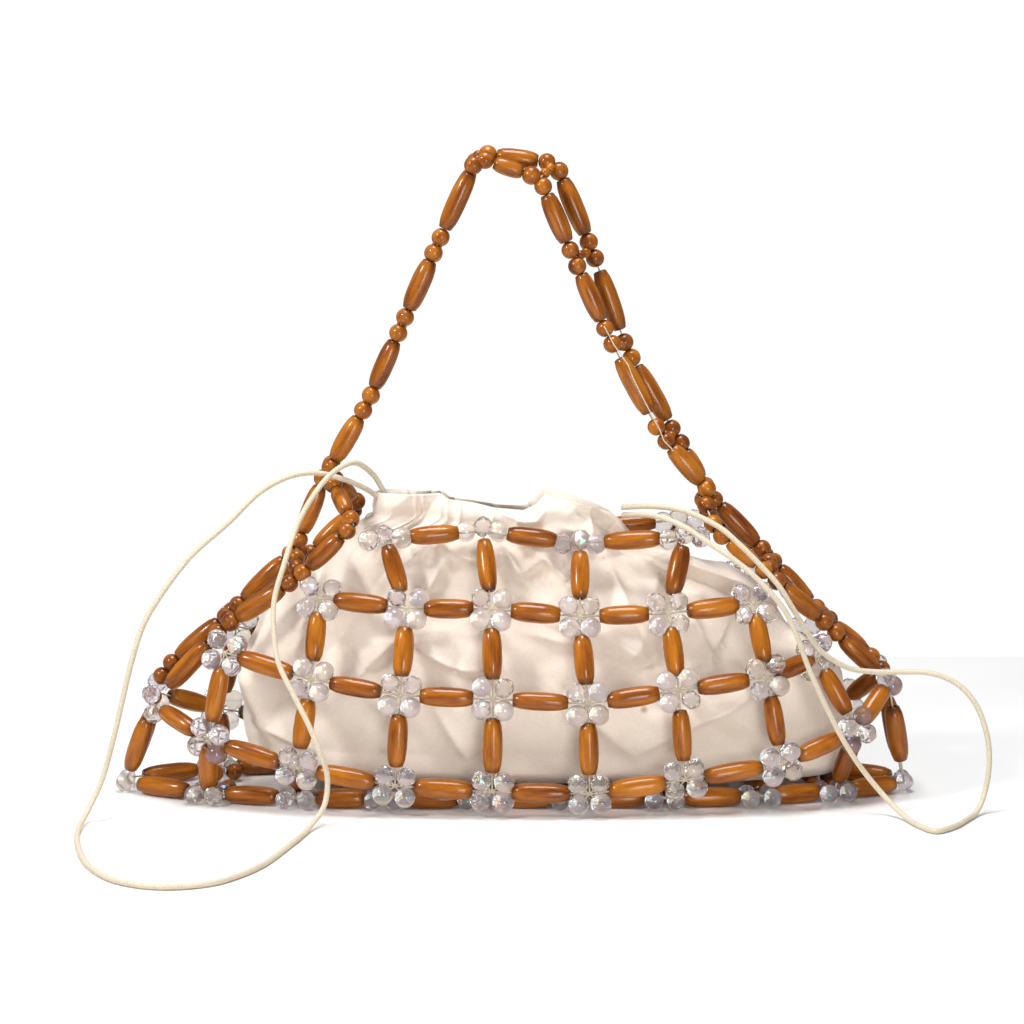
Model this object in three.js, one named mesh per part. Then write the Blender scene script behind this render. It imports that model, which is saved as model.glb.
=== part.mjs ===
// Wooden shoulder bag: a net of long wooden tube beads tied by clusters of clear crystal beads,
// a double bead strap, and a cotton drawstring pouch inside it.
// Millimetres, +X right, +Y back, +Z up. The origin is the middle of the base, on the floor.
import * as THREE from 'three';

// Driving sizes
const TUBE_LENGTH = 23.5;      // long wooden bead
const TUBE_RADIUS = 4.15;
const ROUND_RADIUS = 4;        // round wooden bead
const CLUSTER_HALF = 7.4;      // half width of a cluster of four crystals, at its waist
const CRYSTAL_HALF = 4.25;     // half width of one crystal
const THREAD_SHOWING = 1.35;   // bare thread between a cluster and the bead beside it
const TOP_CLUSTER_HALF = 9.4;  // half length of the three crystals in line on the top edge
const EDGE_CLUSTER_HALF = 5.5; // half width of the smaller cluster that ends a row
const GAP = 0.3;               // clearance between neighbouring pieces
const BEAD_SIDES = 10;
const CORD_DIAMETER = 2.4;
const CORD_SIDES = 8;
const POUCH_WALL = 1.6;
const POUCH_SIDES = 28;
const PLEAT_DEPTH = 1.3;       // ripple of the gathered mouth
const PLEATS = 7;

// One cell of the net: a tube bead and half a cluster at each of its ends.
const CELL = TUBE_LENGTH + 2 * (CLUSTER_HALF + THREAD_SHOWING);

// Clusters of the front net, row by row from the left. The back net is its mirror image.
// Columns: along the bag, depth before the middle plane, height, all in cells.
const NET_ROWS = [
  {
    name: 'row_1',
    lean: 28,
    half: TOP_CLUSTER_HALF,
    rise: CRYSTAL_HALF,
    places: [[-1.37, 0.62, 2.86], [-0.34, 0.49, 2.92], [0.69, 0.49, 2.79], [1.79, 0.58, 2.87]],
  },
  {
    name: 'row_2',
    lean: 24,
    half: CLUSTER_HALF,
    rise: CLUSTER_HALF,
    places: [[-2.06, 0.73, 2.24], [-1.14, 0.88, 2.16], [-0.25, 0.93, 2.16],
      [0.68, 0.93, 2.08], [1.61, 0.90, 2.11], [2.51, 0.76, 2.19]],
  },
  {
    name: 'row_3',
    lean: 8,
    half: CLUSTER_HALF,
    rise: CLUSTER_HALF,
    places: [[-3.07, 0.73, 1.66], [-2.14, 1.00, 1.42], [-1.20, 1.17, 1.29], [-0.23, 1.22, 1.26],
      [0.76, 1.22, 1.21], [1.71, 1.17, 1.34], [2.65, 1.02, 1.45], [3.20, 0.58, 1.58]],
  },
  {
    name: 'row_4',
    lean: -12,
    half: CLUSTER_HALF,
    rise: CLUSTER_HALF,
    places: [[-3.89, 0.28, 1.01], [-3.25, 0.78, 0.72], [-2.29, 1.12, 0.50], [-1.26, 1.22, 0.33],
      [-0.24, 1.27, 0.28], [0.78, 1.29, 0.26], [1.78, 1.24, 0.40], [2.80, 1.10, 0.54],
      [3.63, 0.73, 0.82], [4.01, 0.28, 1.25]],
  },
];

// Clusters of the base, which lie flat on the floor. Columns: along the bag, depth, in cells.
const BASE_PLACES = [[-3.28, 0.60], [-2.32, 0.80], [-1.38, 0.86], [-0.40, 0.84],
  [0.60, 0.84], [1.58, 0.84], [2.60, 0.72], [3.42, 0.50]];
const BASE_END = 4.22;         // how far the two ends of the base reach, in cells
const BASE_DROPS = [0, 1, 8, 9]; // clusters of row 4 that hang a bead down to the base
const BASE_CROSSED = [2, 4, 5, 7]; // base clusters joined to the other side by a bead

// Strap strands. Columns: along the bag, height, in cells, at the middle of each pair of rounds.
const STRAP_ROUTES = {
  front: [[-1.97, 3.55], [-1.57, 4.24], [-1.20, 5.07], [-0.82, 5.92], [-0.40, 6.84],
    [0.26, 6.62], [0.62, 5.78], [0.99, 4.95], [1.55, 3.90], [2.05, 3.32]],
  back: [[-1.97, 3.55], [-1.58, 4.21], [-1.21, 5.05], [-0.83, 5.90], [-0.38, 6.87],
    [0.43, 6.77], [0.82, 5.85], [1.20, 4.78], [1.73, 3.86], [2.05, 3.32]],
};

// Strings that run down the bag's sides from the strap, at the middle of each pair of rounds.
// Ridge columns: along the bag, height. Edge columns: along the bag, depth, height. In cells.
// cornerSlack is the thread that shows, in mm, where an edge string meets its corner cluster.
const SIDES = {
  left: {
    strapEnd: 0,
    rowEnd: 0,
    cornerSlack: 2.9,
    ridgeToward: [-2.11, 3.33],
    edgeToward: [-1.92, 0.22, 3.30],
    ridge: [[-2.35, 2.66], [-3.05, 1.97], [-3.78, 1.34], [-3.92, 1.03]],
    edge: [[-1.70, 0.71, 3.02], [-2.31, 0.62, 2.43], [-3.10, 0.50, 1.89]],
  },
  right: {
    strapEnd: 9,
    rowEnd: 9,
    cornerSlack: 1.8,
    ridgeToward: [2.18, 3.12],
    edgeToward: [2.03, 0.24, 3.10],
    ridge: [[2.72, 2.58], [3.29, 1.93], [3.92, 1.41], [4.06, 1.12]],
    edge: [[2.12, 0.50, 2.93], [2.70, 0.62, 2.46], [3.36, 0.40, 1.87]],
  },
};

// Pouch sections from its floor up: height, left and right reach, half depth, in cells,
// then the roundness of the section (2 is an ellipse) and the share of the mouth's pleats.
const POUCH_SECTIONS = [
  [0.00, -2.55, 3.45, 0.62, 2.3, 0.0],
  [0.14, -2.88, 3.68, 0.84, 2.3, 0.0],
  [0.58, -3.00, 3.82, 0.98, 2.4, 0.0],
  [1.13, -2.93, 3.55, 0.95, 2.3, 0.0],
  [1.58, -2.80, 3.00, 0.80, 2.2, 0.0],
  [2.03, -2.46, 2.56, 0.58, 2.0, 0.1],
  [2.40, -2.08, 2.12, 0.38, 2.0, 0.5],
  [2.68, -1.66, 1.58, 0.27, 2.0, 1.0],
  [2.84, -1.40, 1.22, 0.21, 2.0, 1.0],
  [2.97, -1.46, 1.28, 0.27, 2.0, 1.2],
  [3.07, -1.38, 1.14, 0.22, 2.0, 0.8],
];

// Soft folds of the pouch: where on its girth (degrees from +X, front is 270), height in cells,
// half span round the girth, half height in cells, depth in mm, and slant in cells per degree.
const POUCH_FOLDS = [
  [248, 1.75, 26, 0.20, -3.0, -0.012],
  [262, 0.95, 22, 0.16, -2.5, 0.010],
  [284, 1.45, 24, 0.18, -3.0, 0.014],
  [300, 0.70, 20, 0.20, 2.0, -0.010],
  [232, 0.80, 18, 0.25, 2.0, 0.012],
  [205, 1.30, 18, 0.30, -2.5, -0.016],
  [335, 1.20, 20, 0.25, -2.5, 0.012],
  [75, 1.50, 26, 0.20, -3.0, 0.012],
  [105, 0.90, 24, 0.20, -2.5, -0.010],
  [130, 1.70, 20, 0.20, 2.0, 0.012],
];

// Drawstring loops, as chosen points in mm: they arch over the net and lie on the floor.
const DRAWSTRING_LEFT = [
  [-58.9, -3, 131.2], [-65, -7, 136.2], [-75, -13, 141.5], [-86, -16, 144.6], [-97, -20, 143.8],
  [-110, -26, 137.7], [-123, -32, 125.5], [-139, -38, 111.7], [-151, -43, 96.5], [-159, -46, 83.1],
  [-164, -49, 67.6], [-168, -51, 51], [-172, -53, 34.4], [-177, -55, 16.9], [-182, -62, 6],
  [-184, -78, 1.9], [-181, -103, 1.4], [-171, -139, 1.4], [-157, -160, 1.4], [-140, -168, 1.4],
  [-121, -163, 1.4], [-105, -141, 1.4], [-92, -98, 1.4], [-86, -74, 2.6], [-81, -64, 9],
  [-80, -61, 20.3], [-83, -62, 31.3], [-88, -60, 43], [-95, -56, 56], [-101, -52, 68.2],
  [-103, -48, 79.6], [-103, -44, 93.6], [-99, -40, 108.2], [-94, -32, 123.4], [-88, -26, 134.5],
  [-81, -21, 143.4], [-75, -16, 147.5], [-69, -9, 148], [-62, -4, 142], [-57.6, -2.5, 134.6],
];
const DRAWSTRING_RIGHT = [
  [47, -4.8, 127.8], [59, -13, 129.5], [71, -21, 129.3], [80, -28, 127], [89, -33, 122.6],
  [97, -36, 115.8], [105, -38, 108], [113, -40, 99.2], [119, -41, 89.6], [125, -40, 79.8],
  [131, -37, 70.9], [138, -35, 65.2], [146, -33, 61.3], [157, -31, 59.6], [168, -30, 59.4],
  [180, -31, 59.1], [191, -33, 55.1], [199, -36, 46.9], [204, -39, 33.5], [205, -41, 21],
  [203, -43, 9], [199, -49, 2.2], [193, -60, 1.4], [186, -72, 1.4], [177, -80, 1.4], [171, -70, 1.4],
  [166, -56, 2.4], [160, -48, 7.5], [151, -46, 18], [143, -48, 29.8], [136, -48, 42.5],
  [130, -48, 55], [125, -47, 66.4], [121, -47, 77.5], [116, -47, 88.4], [109, -47, 97.4],
  [101, -45, 105.2], [92, -42, 112], [83, -38, 117.4], [74, -34, 123], [66, -28, 126],
  [58, -17, 126.2], [47.5, -4.2, 124.3],
];
const LEFT_CORD_STEPS = 34;
const RIGHT_CORD_STEPS = 27;

// Worked out from the sizes above
const STRAND_OFFSET = TUBE_RADIUS + GAP / 2;
const FLAT_RADIUS = ROUND_RADIUS * Math.cos(Math.PI / BEAD_SIDES);
const TOUCH = 2 * FLAT_RADIUS + GAP;
const PAIR_OFFSET = 0.95 * ROUND_RADIUS;
const NECK_RADIUS = 0.5 * ROUND_RADIUS;
const NECK_REACH = 0.86 * ROUND_RADIUS;
const SHORTEST_TUBE = 6;
const CAP_SHARE = Math.SQRT1_2;

const WOOD = new THREE.MeshStandardMaterial({ color: 0x9c5a22, roughness: 0.35 });
const CRYSTAL_AND_WOOD = new THREE.MeshStandardMaterial({ color: 0xa8682f, roughness: 0.3 });
const COTTON = new THREE.MeshStandardMaterial({ color: 0xebe1d3, roughness: 0.9 });
const CORD = new THREE.MeshStandardMaterial({ color: 0xdfd5c2, roughness: 0.85 });

const vector = (x, y, z) => new THREE.Vector3(x, y, z);
const cells = (x, y, z) => vector(x * CELL, y * CELL, z * CELL);

/** A closed surface that is stitched together from rings of points. */
class Shell {
  constructor() {
    this.points = [];
    this.triangles = [];
  }

  /** Add a ring of points and return their numbers. */
  addRing(points) {
    return points.map((point) => this.points.push(point) - 1);
  }

  /** Join two rings of the same count; the first turns counterclockwise about the way forward. */
  bridge(from, to) {
    from.forEach((a, i) => {
      const j = (i + 1) % from.length;
      this.triangles.push([a, from[j], to[j]], [a, to[j], to[i]]);
    });
  }

  /** Close a ring that turns counterclockwise about its outward side with a fan to a point. */
  closeToPoint(ring, point) {
    const [tip] = this.addRing([point]);
    ring.forEach((a, i) => this.triangles.push([a, ring[(i + 1) % ring.length], tip]));
  }

  /** Close a ring with a flat cap. */
  closeFlat(ring) {
    for (let i = 2; i < ring.length; i += 1) this.triangles.push([ring[0], ring[i - 1], ring[i]]);
  }

  /** The named mesh of the whole surface. */
  toMesh(name, material) {
    const geometry = new THREE.BufferGeometry().setFromPoints(this.points);
    geometry.setIndex(this.triangles.flat());
    geometry.computeVertexNormals();
    const mesh = new THREE.Mesh(geometry, material);
    mesh.name = name;
    return mesh;
  }
}

/** A circle of points that turns counterclockwise about x cross y. */
function circle(centre, x, y, radius, sides = BEAD_SIDES) {
  return Array.from({ length: sides }, (_, i) => {
    const angle = 2 * Math.PI * i / sides;
    return centre.clone()
      .addScaledVector(x, radius * Math.cos(angle))
      .addScaledVector(y, radius * Math.sin(angle));
  });
}

/** A cluster of crystals: a cushion with its centre, three axes and half size along each. */
function makeCluster(centre, along, up, half) {
  const u = along.clone().normalize();
  const v = up.clone().addScaledVector(u, -up.dot(u)).normalize();
  return { centre, axes: [u, v, u.clone().cross(v)], half, rings: {} };
}

/** One face of a cluster, named by its axis and sign: its centre and its own two axes. */
function clusterFace({ centre, axes, half }, axis, sign) {
  const a = (axis + 1) % 3;
  const b = (axis + 2) % 3;
  return {
    normal: axes[axis].clone().multiplyScalar(sign),
    centre: centre.clone().addScaledVector(axes[axis], sign * half[axis]),
    x: axes[a].clone().multiplyScalar(sign),
    y: axes[b],
    halfX: half[a],
    halfY: half[b],
  };
}

/** Add a cluster to a shell, with a ring left open in each face that carries a bead. */
function addCluster(shell, cluster, openFaces) {
  [0, 1, 2].forEach((axis) => [-1, 1].forEach((sign) => {
    const face = clusterFace(cluster, axis, sign);
    const corners = [[1, 1], [-1, 1], [-1, -1], [1, -1]].map(([p, q]) => face.centre.clone()
      .addScaledVector(face.x, p * face.halfX)
      .addScaledVector(face.y, q * face.halfY));
    const outer = shell.addRing(corners);
    const key = `${axis},${sign}`;
    if (!openFaces.includes(key)) {
      shell.closeFlat(outer);
      return;
    }
    const ring = shell.addRing(circle(face.centre, face.x, face.y, TUBE_RADIUS));
    cluster.rings[key] = ring;
    const corner = (i) => outer[Math.floor((i + 0.5) * 4 / BEAD_SIDES) % 4];
    ring.forEach((a, i) => {
      const next = ring[(i + 1) % BEAD_SIDES];
      shell.triangles.push([a, corner(i), next]);
      const turn = corner((i + 1) % BEAD_SIDES);
      if (turn !== corner(i)) shell.triangles.push([next, corner(i), turn]);
    });
  }));
}

/** Number the second ring's points so that each is the nearest to its partner in the first. */
function matchRings(shell, from, to) {
  const reversed = [...to].reverse();
  const misfit = (shift) => from.reduce((sum, a, i) => {
    const b = reversed[(i + shift) % reversed.length];
    return sum + shell.points[a].distanceToSquared(shell.points[b]);
  }, 0);
  const shifts = reversed.map((_, shift) => shift);
  const best = shifts.reduce((a, b) => (misfit(b) < misfit(a) ? b : a));
  return reversed.map((_, i) => reversed[(i + best) % reversed.length]);
}

/** A bead between the facing sides of two clusters of one string. */
function addStrungBead(shell, from, to) {
  const start = from.rings['0,1'];
  shell.bridge(start, matchRings(shell, start, to.rings['0,-1']));
}

/** A bead that hangs from a cluster and ends just clear of a face of another string's cluster. */
function addHangingBead(shell, from, face) {
  const start = from.rings['1,-1'];
  const end = face.centre.clone().addScaledVector(face.normal, GAP);
  const ring = shell.addRing(circle(end, face.x, face.y, TUBE_RADIUS));
  const matched = matchRings(shell, start, ring);
  shell.bridge(start, matched);
  shell.closeFlat(matched);
}

/** The clusters of one row of the net, on the front (side -1) or the back (side 1). */
function rowClusters(row, side) {
  const places = row.places.map(([x, depth, z]) => cells(x, side * depth, z));
  const lean = THREE.MathUtils.degToRad(row.lean);
  const up = vector(0, -side * Math.sin(lean), Math.cos(lean));
  const last = places.length - 1;
  return places.map((centre, i) => {
    const along = places[Math.min(i + 1, last)].clone().sub(places[Math.max(i - 1, 0)]);
    const isEnd = (i === 0 || i === last) && row.half === CLUSTER_HALF;
    const half = isEnd ? EDGE_CLUSTER_HALF : row.half;
    const rise = isEnd ? EDGE_CLUSTER_HALF : row.rise;
    return makeCluster(centre, along, up, [half, rise, CRYSTAL_HALF]);
  });
}

/** The clusters of the base, on the front (side -1) or the back (side 1), flat on the floor. */
function baseClusters(side) {
  const endDepth = (CRYSTAL_HALF + GAP / 2) / CELL;
  const outline = [[-BASE_END, endDepth], ...BASE_PLACES, [BASE_END, endDepth]];
  const places = outline.map(([x, depth]) => vector(x * CELL, side * depth * CELL, CRYSTAL_HALF));
  const last = places.length - 1;
  return places.map((centre, i) => {
    const isEnd = i === 0 || i === last;
    const next = places[Math.min(i + 1, last)];
    const along = isEnd ? vector(1, 0, 0) : next.clone().sub(places[i - 1]);
    const half = isEnd ? CRYSTAL_HALF : CLUSTER_HALF;
    return makeCluster(centre, along, vector(-along.y, along.x, 0), [half, half, CRYSTAL_HALF]);
  });
}

/** The string of one row: its clusters, the beads between them and the beads that hang below. */
function addString(shell, clusters, openBelow) {
  const last = clusters.length - 1;
  clusters.forEach((cluster, i) => {
    const open = [];
    if (i > 0) open.push('0,-1');
    if (i < last) open.push('0,1');
    addCluster(shell, cluster, [...open, ...(openBelow[i] ?? [])]);
    if (i > 0) addStrungBead(shell, clusters[i - 1], cluster);
  });
}

/** One row of the net with its hanging beads. below gives the cluster face under each. */
function makeRow(name, clusters, below) {
  const shell = new Shell();
  addString(shell, clusters, below.map((face) => (face ? ['1,-1'] : [])));
  below.forEach((face, i) => {
    if (face) addHangingBead(shell, clusters[i], face);
  });
  return shell.toMesh(name, CRYSTAL_AND_WOOD);
}

/** One side of the base, with a bead from some of its clusters to the middle plane. */
function makeBaseString(name, clusters, side) {
  const shell = new Shell();
  const inner = side < 0 ? 1 : -1;
  const key = `1,${inner}`;
  const open = clusters.map((_, i) => (BASE_CROSSED.includes(i) ? [key] : []));
  addString(shell, clusters, open);
  BASE_CROSSED.forEach((i) => {
    const start = clusters[i].rings[key];
    const end = vector(clusters[i].centre.x, side * GAP / 2, CRYSTAL_HALF);
    const facing = circle(end, vector(-side, 0, 0), vector(0, 0, 1), TUBE_RADIUS);
    const ring = matchRings(shell, start, shell.addRing(facing));
    shell.bridge(start, ring);
    shell.closeFlat(ring);
  });
  return shell.toMesh(name, CRYSTAL_AND_WOOD);
}

/** All strings of one side of the net. */
function netPanel(sideName, side) {
  const rows = NET_ROWS.map((row) => rowClusters(row, side));
  const base = baseClusters(side);
  const meshes = NET_ROWS.map((row, r) => {
    const below = rows[r].map((_, i) => {
      if (r < NET_ROWS.length - 1) return clusterFace(rows[r + 1][i + 1], 1, 1);
      return BASE_DROPS.includes(i) ? clusterFace(base[i], 2, 1) : null;
    });
    return makeRow(`${sideName}_net_${row.name}`, rows[r], below);
  });
  meshes.push(makeBaseString(`${sideName}_base_string`, base, side));
  return { meshes, rowEnds: rows[NET_ROWS.length - 1] };
}

/**
 * The outline of a string of wooden beads: a long bead between each two points, with a round
 * bead at each end of it. Each station has its place, its direction and its radius.
 */
function stringStations(points, endsInTube) {
  const stations = [];
  const last = points.length - 2;
  points.slice(0, -1).forEach((from, i) => {
    const to = points[i + 1];
    const way = to.clone().sub(from).normalize();
    const length = from.distanceTo(to);
    const add = (t, radius, direction = way) => {
      stations.push({ place: from.clone().addScaledVector(way, t), direction, radius });
    };
    const bareEnd = endsInTube && i === last;
    const first = i === 0 ? 0 : PAIR_OFFSET;
    const final = i === last ? length : length - PAIR_OFFSET;
    const tubeStart = first + ROUND_RADIUS;
    const tubeEnd = bareEnd ? final : final - ROUND_RADIUS;
    add(first, ROUND_RADIUS);
    if (tubeEnd - tubeStart > SHORTEST_TUBE) {
      add(first + NECK_REACH, NECK_RADIUS);
      add(tubeStart, TUBE_RADIUS);
      add(tubeEnd, TUBE_RADIUS);
      if (!bareEnd) add(final - NECK_REACH, NECK_RADIUS);
    } else {
      add((first + final) / 2, NECK_RADIUS);
    }
    if (!bareEnd) add(final, ROUND_RADIUS);
    if (i < last) {
      const onward = points[i + 2].clone().sub(to).normalize();
      add(length, NECK_RADIUS, way.clone().add(onward).normalize());
    }
  });
  return stations;
}

/** The ring and the tip that round off the free end of a string's last bead. */
function roundCap(shell, place, outward, x, y) {
  const level = place.clone().addScaledVector(outward, CAP_SHARE * ROUND_RADIUS);
  return {
    ring: shell.addRing(circle(level, x, y, CAP_SHARE * ROUND_RADIUS)),
    tip: place.clone().addScaledVector(outward, ROUND_RADIUS),
  };
}

/** A string of wooden beads as one turned outline along its points. */
function beadString(name, points, endsInTube = false) {
  const stations = stringStations(points, endsInTube);
  const shell = new Shell();
  const end = stations[stations.length - 1];
  let across = vector(0, 1, 0);
  let previous = null;
  let heading = stations[0].direction;
  across.addScaledVector(heading, -across.dot(heading)).normalize();
  stations.forEach(({ place, direction, radius }) => {
    const turn = new THREE.Quaternion().setFromUnitVectors(heading, direction);
    across = across.clone().applyQuaternion(turn);
    heading = direction;
    const other = heading.clone().cross(across);
    const ring = shell.addRing(circle(place, across, other, radius));
    if (previous) {
      shell.bridge(previous, ring);
    } else {
      const cap = roundCap(shell, place, heading.clone().negate(), across, other);
      shell.closeToPoint([...cap.ring].reverse(), cap.tip);
      shell.bridge(cap.ring, ring);
    }
    previous = ring;
  });
  if (endsInTube) {
    shell.closeFlat(previous);
  } else {
    const cap = roundCap(shell, end.place, heading, across, heading.clone().cross(across));
    shell.bridge(previous, cap.ring);
    shell.closeToPoint(cap.ring, cap.tip);
  }
  return shell.toMesh(name, WOOD);
}

/** The point at a given distance from a start, in the direction of another point. */
function stepToward(start, aim, distance) {
  return start.clone().addScaledVector(aim.clone().sub(start).normalize(), distance);
}

/** The strap's two strands. */
function makeStrap() {
  return Object.entries(STRAP_ROUTES).map(([name, route]) => {
    const depth = name === 'front' ? -STRAND_OFFSET : STRAND_OFFSET;
    return beadString(`strap_${name}_strand`, route.map(([x, z]) => vector(x * CELL, depth, z * CELL)));
  });
}

/** The ridge string down one side, from the strap's end to the lower corner. */
function makeRidge(sideName, side) {
  const [x, z] = STRAP_ROUTES.front[side.strapEnd];
  const aim = cells(side.ridgeToward[0], 0, side.ridgeToward[1]);
  const drop = Math.sqrt(TOUCH * TOUCH - STRAND_OFFSET * STRAND_OFFSET);
  const points = side.ridge.map(([along, height]) => cells(along, 0, height));
  return beadString(`${sideName}_ridge_string`, [stepToward(cells(x, 0, z), aim, drop), ...points]);
}

/** The edge string down one side of the front or back net, to the end cluster of row 4. */
function makeEdge(sideName, side, panelName, sign, rowEnds) {
  const [x, z] = STRAP_ROUTES.front[side.strapEnd];
  const strapEnd = vector(x * CELL, sign * STRAND_OFFSET, z * CELL);
  const aim = cells(side.edgeToward[0], sign * side.edgeToward[1], side.edgeToward[2]);
  const points = side.edge.map(([along, depth, height]) => cells(along, sign * depth, height));
  const corner = rowEnds[side.rowEnd];
  const arrival = corner.centre.clone().sub(points[points.length - 1]).normalize();
  const reach = EDGE_CLUSTER_HALF + GAP + side.cornerSlack;
  const stop = corner.centre.clone().addScaledVector(arrival, -reach);
  const route = [stepToward(strapEnd, aim, TOUCH), ...points, stop];
  return beadString(`${sideName}_${panelName}_edge_string`, route, true);
}

/** How far the pouch's cloth is pushed in or out by its folds. */
function foldDepth(angle, height) {
  return POUCH_FOLDS.reduce((sum, [place, level, span, rise, depth, slant]) => {
    const turn = ((angle - place + 540) % 360) - 180;
    const offset = height - level - slant * turn;
    return sum + depth * Math.exp(-((turn / span) ** 2) - (offset / rise) ** 2);
  }, 0);
}

/** One ring of the pouch's cloth, set in from its outer face. */
function pouchRing([height, left, right, depth, roundness, pleat], inset, lift) {
  const a = (right - left) / 2 * CELL - inset;
  const b = depth * CELL - inset;
  const middle = (left + right) / 2 * CELL;
  const level = 2 * CRYSTAL_HALF + GAP + height * CELL + lift;
  const power = 2 / roundness;
  return Array.from({ length: POUCH_SIDES }, (_, i) => {
    const angle = 360 * i / POUCH_SIDES;
    const c = Math.cos(THREE.MathUtils.degToRad(angle));
    const s = Math.sin(THREE.MathUtils.degToRad(angle));
    const x = a * Math.sign(c) * Math.abs(c) ** power;
    const y = b * Math.sign(s) * Math.abs(s) ** power;
    const ripple = pleat * PLEAT_DEPTH * Math.cos(PLEATS * THREE.MathUtils.degToRad(angle));
    const push = vector(x / (a * a), y / (b * b), 0).normalize();
    push.multiplyScalar(foldDepth(angle, height) + ripple);
    return vector(middle + x + push.x, y + push.y, level);
  });
}

/** The cotton pouch: one wall of cloth with a floor, open at its gathered mouth. */
function makePouch() {
  const shell = new Shell();
  const outer = POUCH_SECTIONS.map((section) => pouchRing(section, 0, 0));
  const inner = POUCH_SECTIONS.map((section, k) => (
    pouchRing(section, POUCH_WALL, k === 0 ? POUCH_WALL : 0)
  )).reverse();
  const rings = [...outer, ...inner].map((ring) => shell.addRing(ring));
  rings.slice(1).forEach((ring, i) => shell.bridge(rings[i], ring));
  const middle = (ring) => ring[0].clone().add(ring[POUCH_SIDES / 2]).divideScalar(2);
  shell.closeToPoint([...rings[0]].reverse(), middle(outer[0]));
  shell.closeToPoint(rings[rings.length - 1], middle(inner[inner.length - 1]));
  return shell.toMesh('pouch', COTTON);
}

/** A drawstring loop: a round cord along its chosen points. */
function makeDrawstring(name, route, steps) {
  const section = new THREE.Shape();
  circle(vector(0, 0, 0), vector(1, 0, 0), vector(0, 1, 0), CORD_DIAMETER / 2, CORD_SIDES)
    .forEach(({ x, y }, i) => (i === 0 ? section.moveTo(x, y) : section.lineTo(x, y)));
  const path = new THREE.CatmullRomCurve3(route.map((point) => vector(...point)), false, 'centripetal');
  const tube = new THREE.ExtrudeGeometry(section, { steps, extrudePath: path, bevelEnabled: false });
  const mesh = new THREE.Mesh(tube, CORD);
  mesh.name = name;
  return mesh;
}

const bag = new THREE.Group();
const front = netPanel('front', -1);
const back = netPanel('back', 1);
bag.add(...front.meshes, ...back.meshes, ...makeStrap());
Object.entries(SIDES).forEach(([sideName, side]) => {
  bag.add(makeRidge(sideName, side));
  bag.add(makeEdge(sideName, side, 'front', -1, front.rowEnds));
  bag.add(makeEdge(sideName, side, 'back', 1, back.rowEnds));
});
bag.add(makePouch());
bag.add(makeDrawstring('drawstring_left', DRAWSTRING_LEFT, LEFT_CORD_STEPS));
bag.add(makeDrawstring('drawstring_right', DRAWSTRING_RIGHT, RIGHT_CORD_STEPS));

export default bag;
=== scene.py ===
"""Looks of the wooden shoulder bag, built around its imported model.

Sizes are in millimetres, places on the net are in cells of the net, and every finished piece is
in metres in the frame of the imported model: +X along the bag, +Y to its back, +Z up.
"""

import logging
import math
import random
from collections.abc import Callable, Iterator, Sequence
from dataclasses import dataclass, field
from enum import Enum

import bpy
from mathutils import Matrix, Vector, noise


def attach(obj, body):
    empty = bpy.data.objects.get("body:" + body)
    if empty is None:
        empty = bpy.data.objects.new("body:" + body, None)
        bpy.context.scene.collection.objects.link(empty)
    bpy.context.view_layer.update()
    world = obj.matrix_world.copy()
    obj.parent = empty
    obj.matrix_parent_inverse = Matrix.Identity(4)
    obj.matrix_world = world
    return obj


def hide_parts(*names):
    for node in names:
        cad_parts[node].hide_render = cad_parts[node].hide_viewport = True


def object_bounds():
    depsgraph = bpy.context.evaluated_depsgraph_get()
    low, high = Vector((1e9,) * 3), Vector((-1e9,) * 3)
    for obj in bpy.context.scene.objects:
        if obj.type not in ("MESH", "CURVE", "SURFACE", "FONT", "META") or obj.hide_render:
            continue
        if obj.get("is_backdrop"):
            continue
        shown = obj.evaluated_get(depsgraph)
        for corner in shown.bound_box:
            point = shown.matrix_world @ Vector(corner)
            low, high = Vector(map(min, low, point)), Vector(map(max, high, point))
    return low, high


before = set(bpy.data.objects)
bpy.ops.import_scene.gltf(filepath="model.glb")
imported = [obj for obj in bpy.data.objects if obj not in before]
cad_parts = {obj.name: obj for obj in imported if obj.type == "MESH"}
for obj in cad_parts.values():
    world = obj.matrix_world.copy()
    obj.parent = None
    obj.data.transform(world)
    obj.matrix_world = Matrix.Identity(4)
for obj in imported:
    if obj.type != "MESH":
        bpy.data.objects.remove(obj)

LOG = logging.getLogger("shoulder_bag")
BODY = "root"
MM = 0.001

# Sizes of the beads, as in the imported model
TUBE_LENGTH = 23.5
TUBE_RADIUS = 4.15
ROUND_RADIUS = 4.0
SMALL_RADIUS = 2.3
THREAD_RADIUS = 0.42
CLUSTER_HALF = 7.4
CRYSTAL_HALF = 4.25
TOP_CLUSTER_HALF = 9.4
EDGE_CLUSTER_HALF = 5.5
THREAD_SHOWING = 1.35
GAP = 0.3
CORD_DIAMETER = 2.4
CELL = TUBE_LENGTH + 2 * (CLUSTER_HALF + THREAD_SHOWING)
STRAND_OFFSET = TUBE_RADIUS + GAP / 2
PAIR_OFFSET = 0.95 * ROUND_RADIUS
TOUCH = 2 * ROUND_RADIUS * math.cos(math.pi / 10) + GAP
SHORTEST_TUBE = 6.0
POUCH_BASE = 2 * CRYSTAL_HALF + GAP
LINK_SPREAD = 0.55

# Small differences between beads: ranges of the turn on the string in radians, of the width, of
# the stretch of a long bead, and how far a crystal lies off its place in mm
ROLLS = (0, 6.3)
WIDTHS = (0.95, 1.04)
STRING_WIDTHS = (0.95, 1.03)
SHORT_TUBE_WIDTH = 0.86
STRETCHES = (0.88, 1.06)
LONGEST_STRETCH = 1.12
DRIFT = 0.22

# Sizes of the crystals, of those that lie flat in the base, and the shares of smooth ones among
# the upper and the lower crystals of a cluster
CRYSTALS = (1.04, 1.14)
FLAT_CRYSTALS = (0.95, 1.0)
SMOOTH = (0.3, 0.75)

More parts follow.
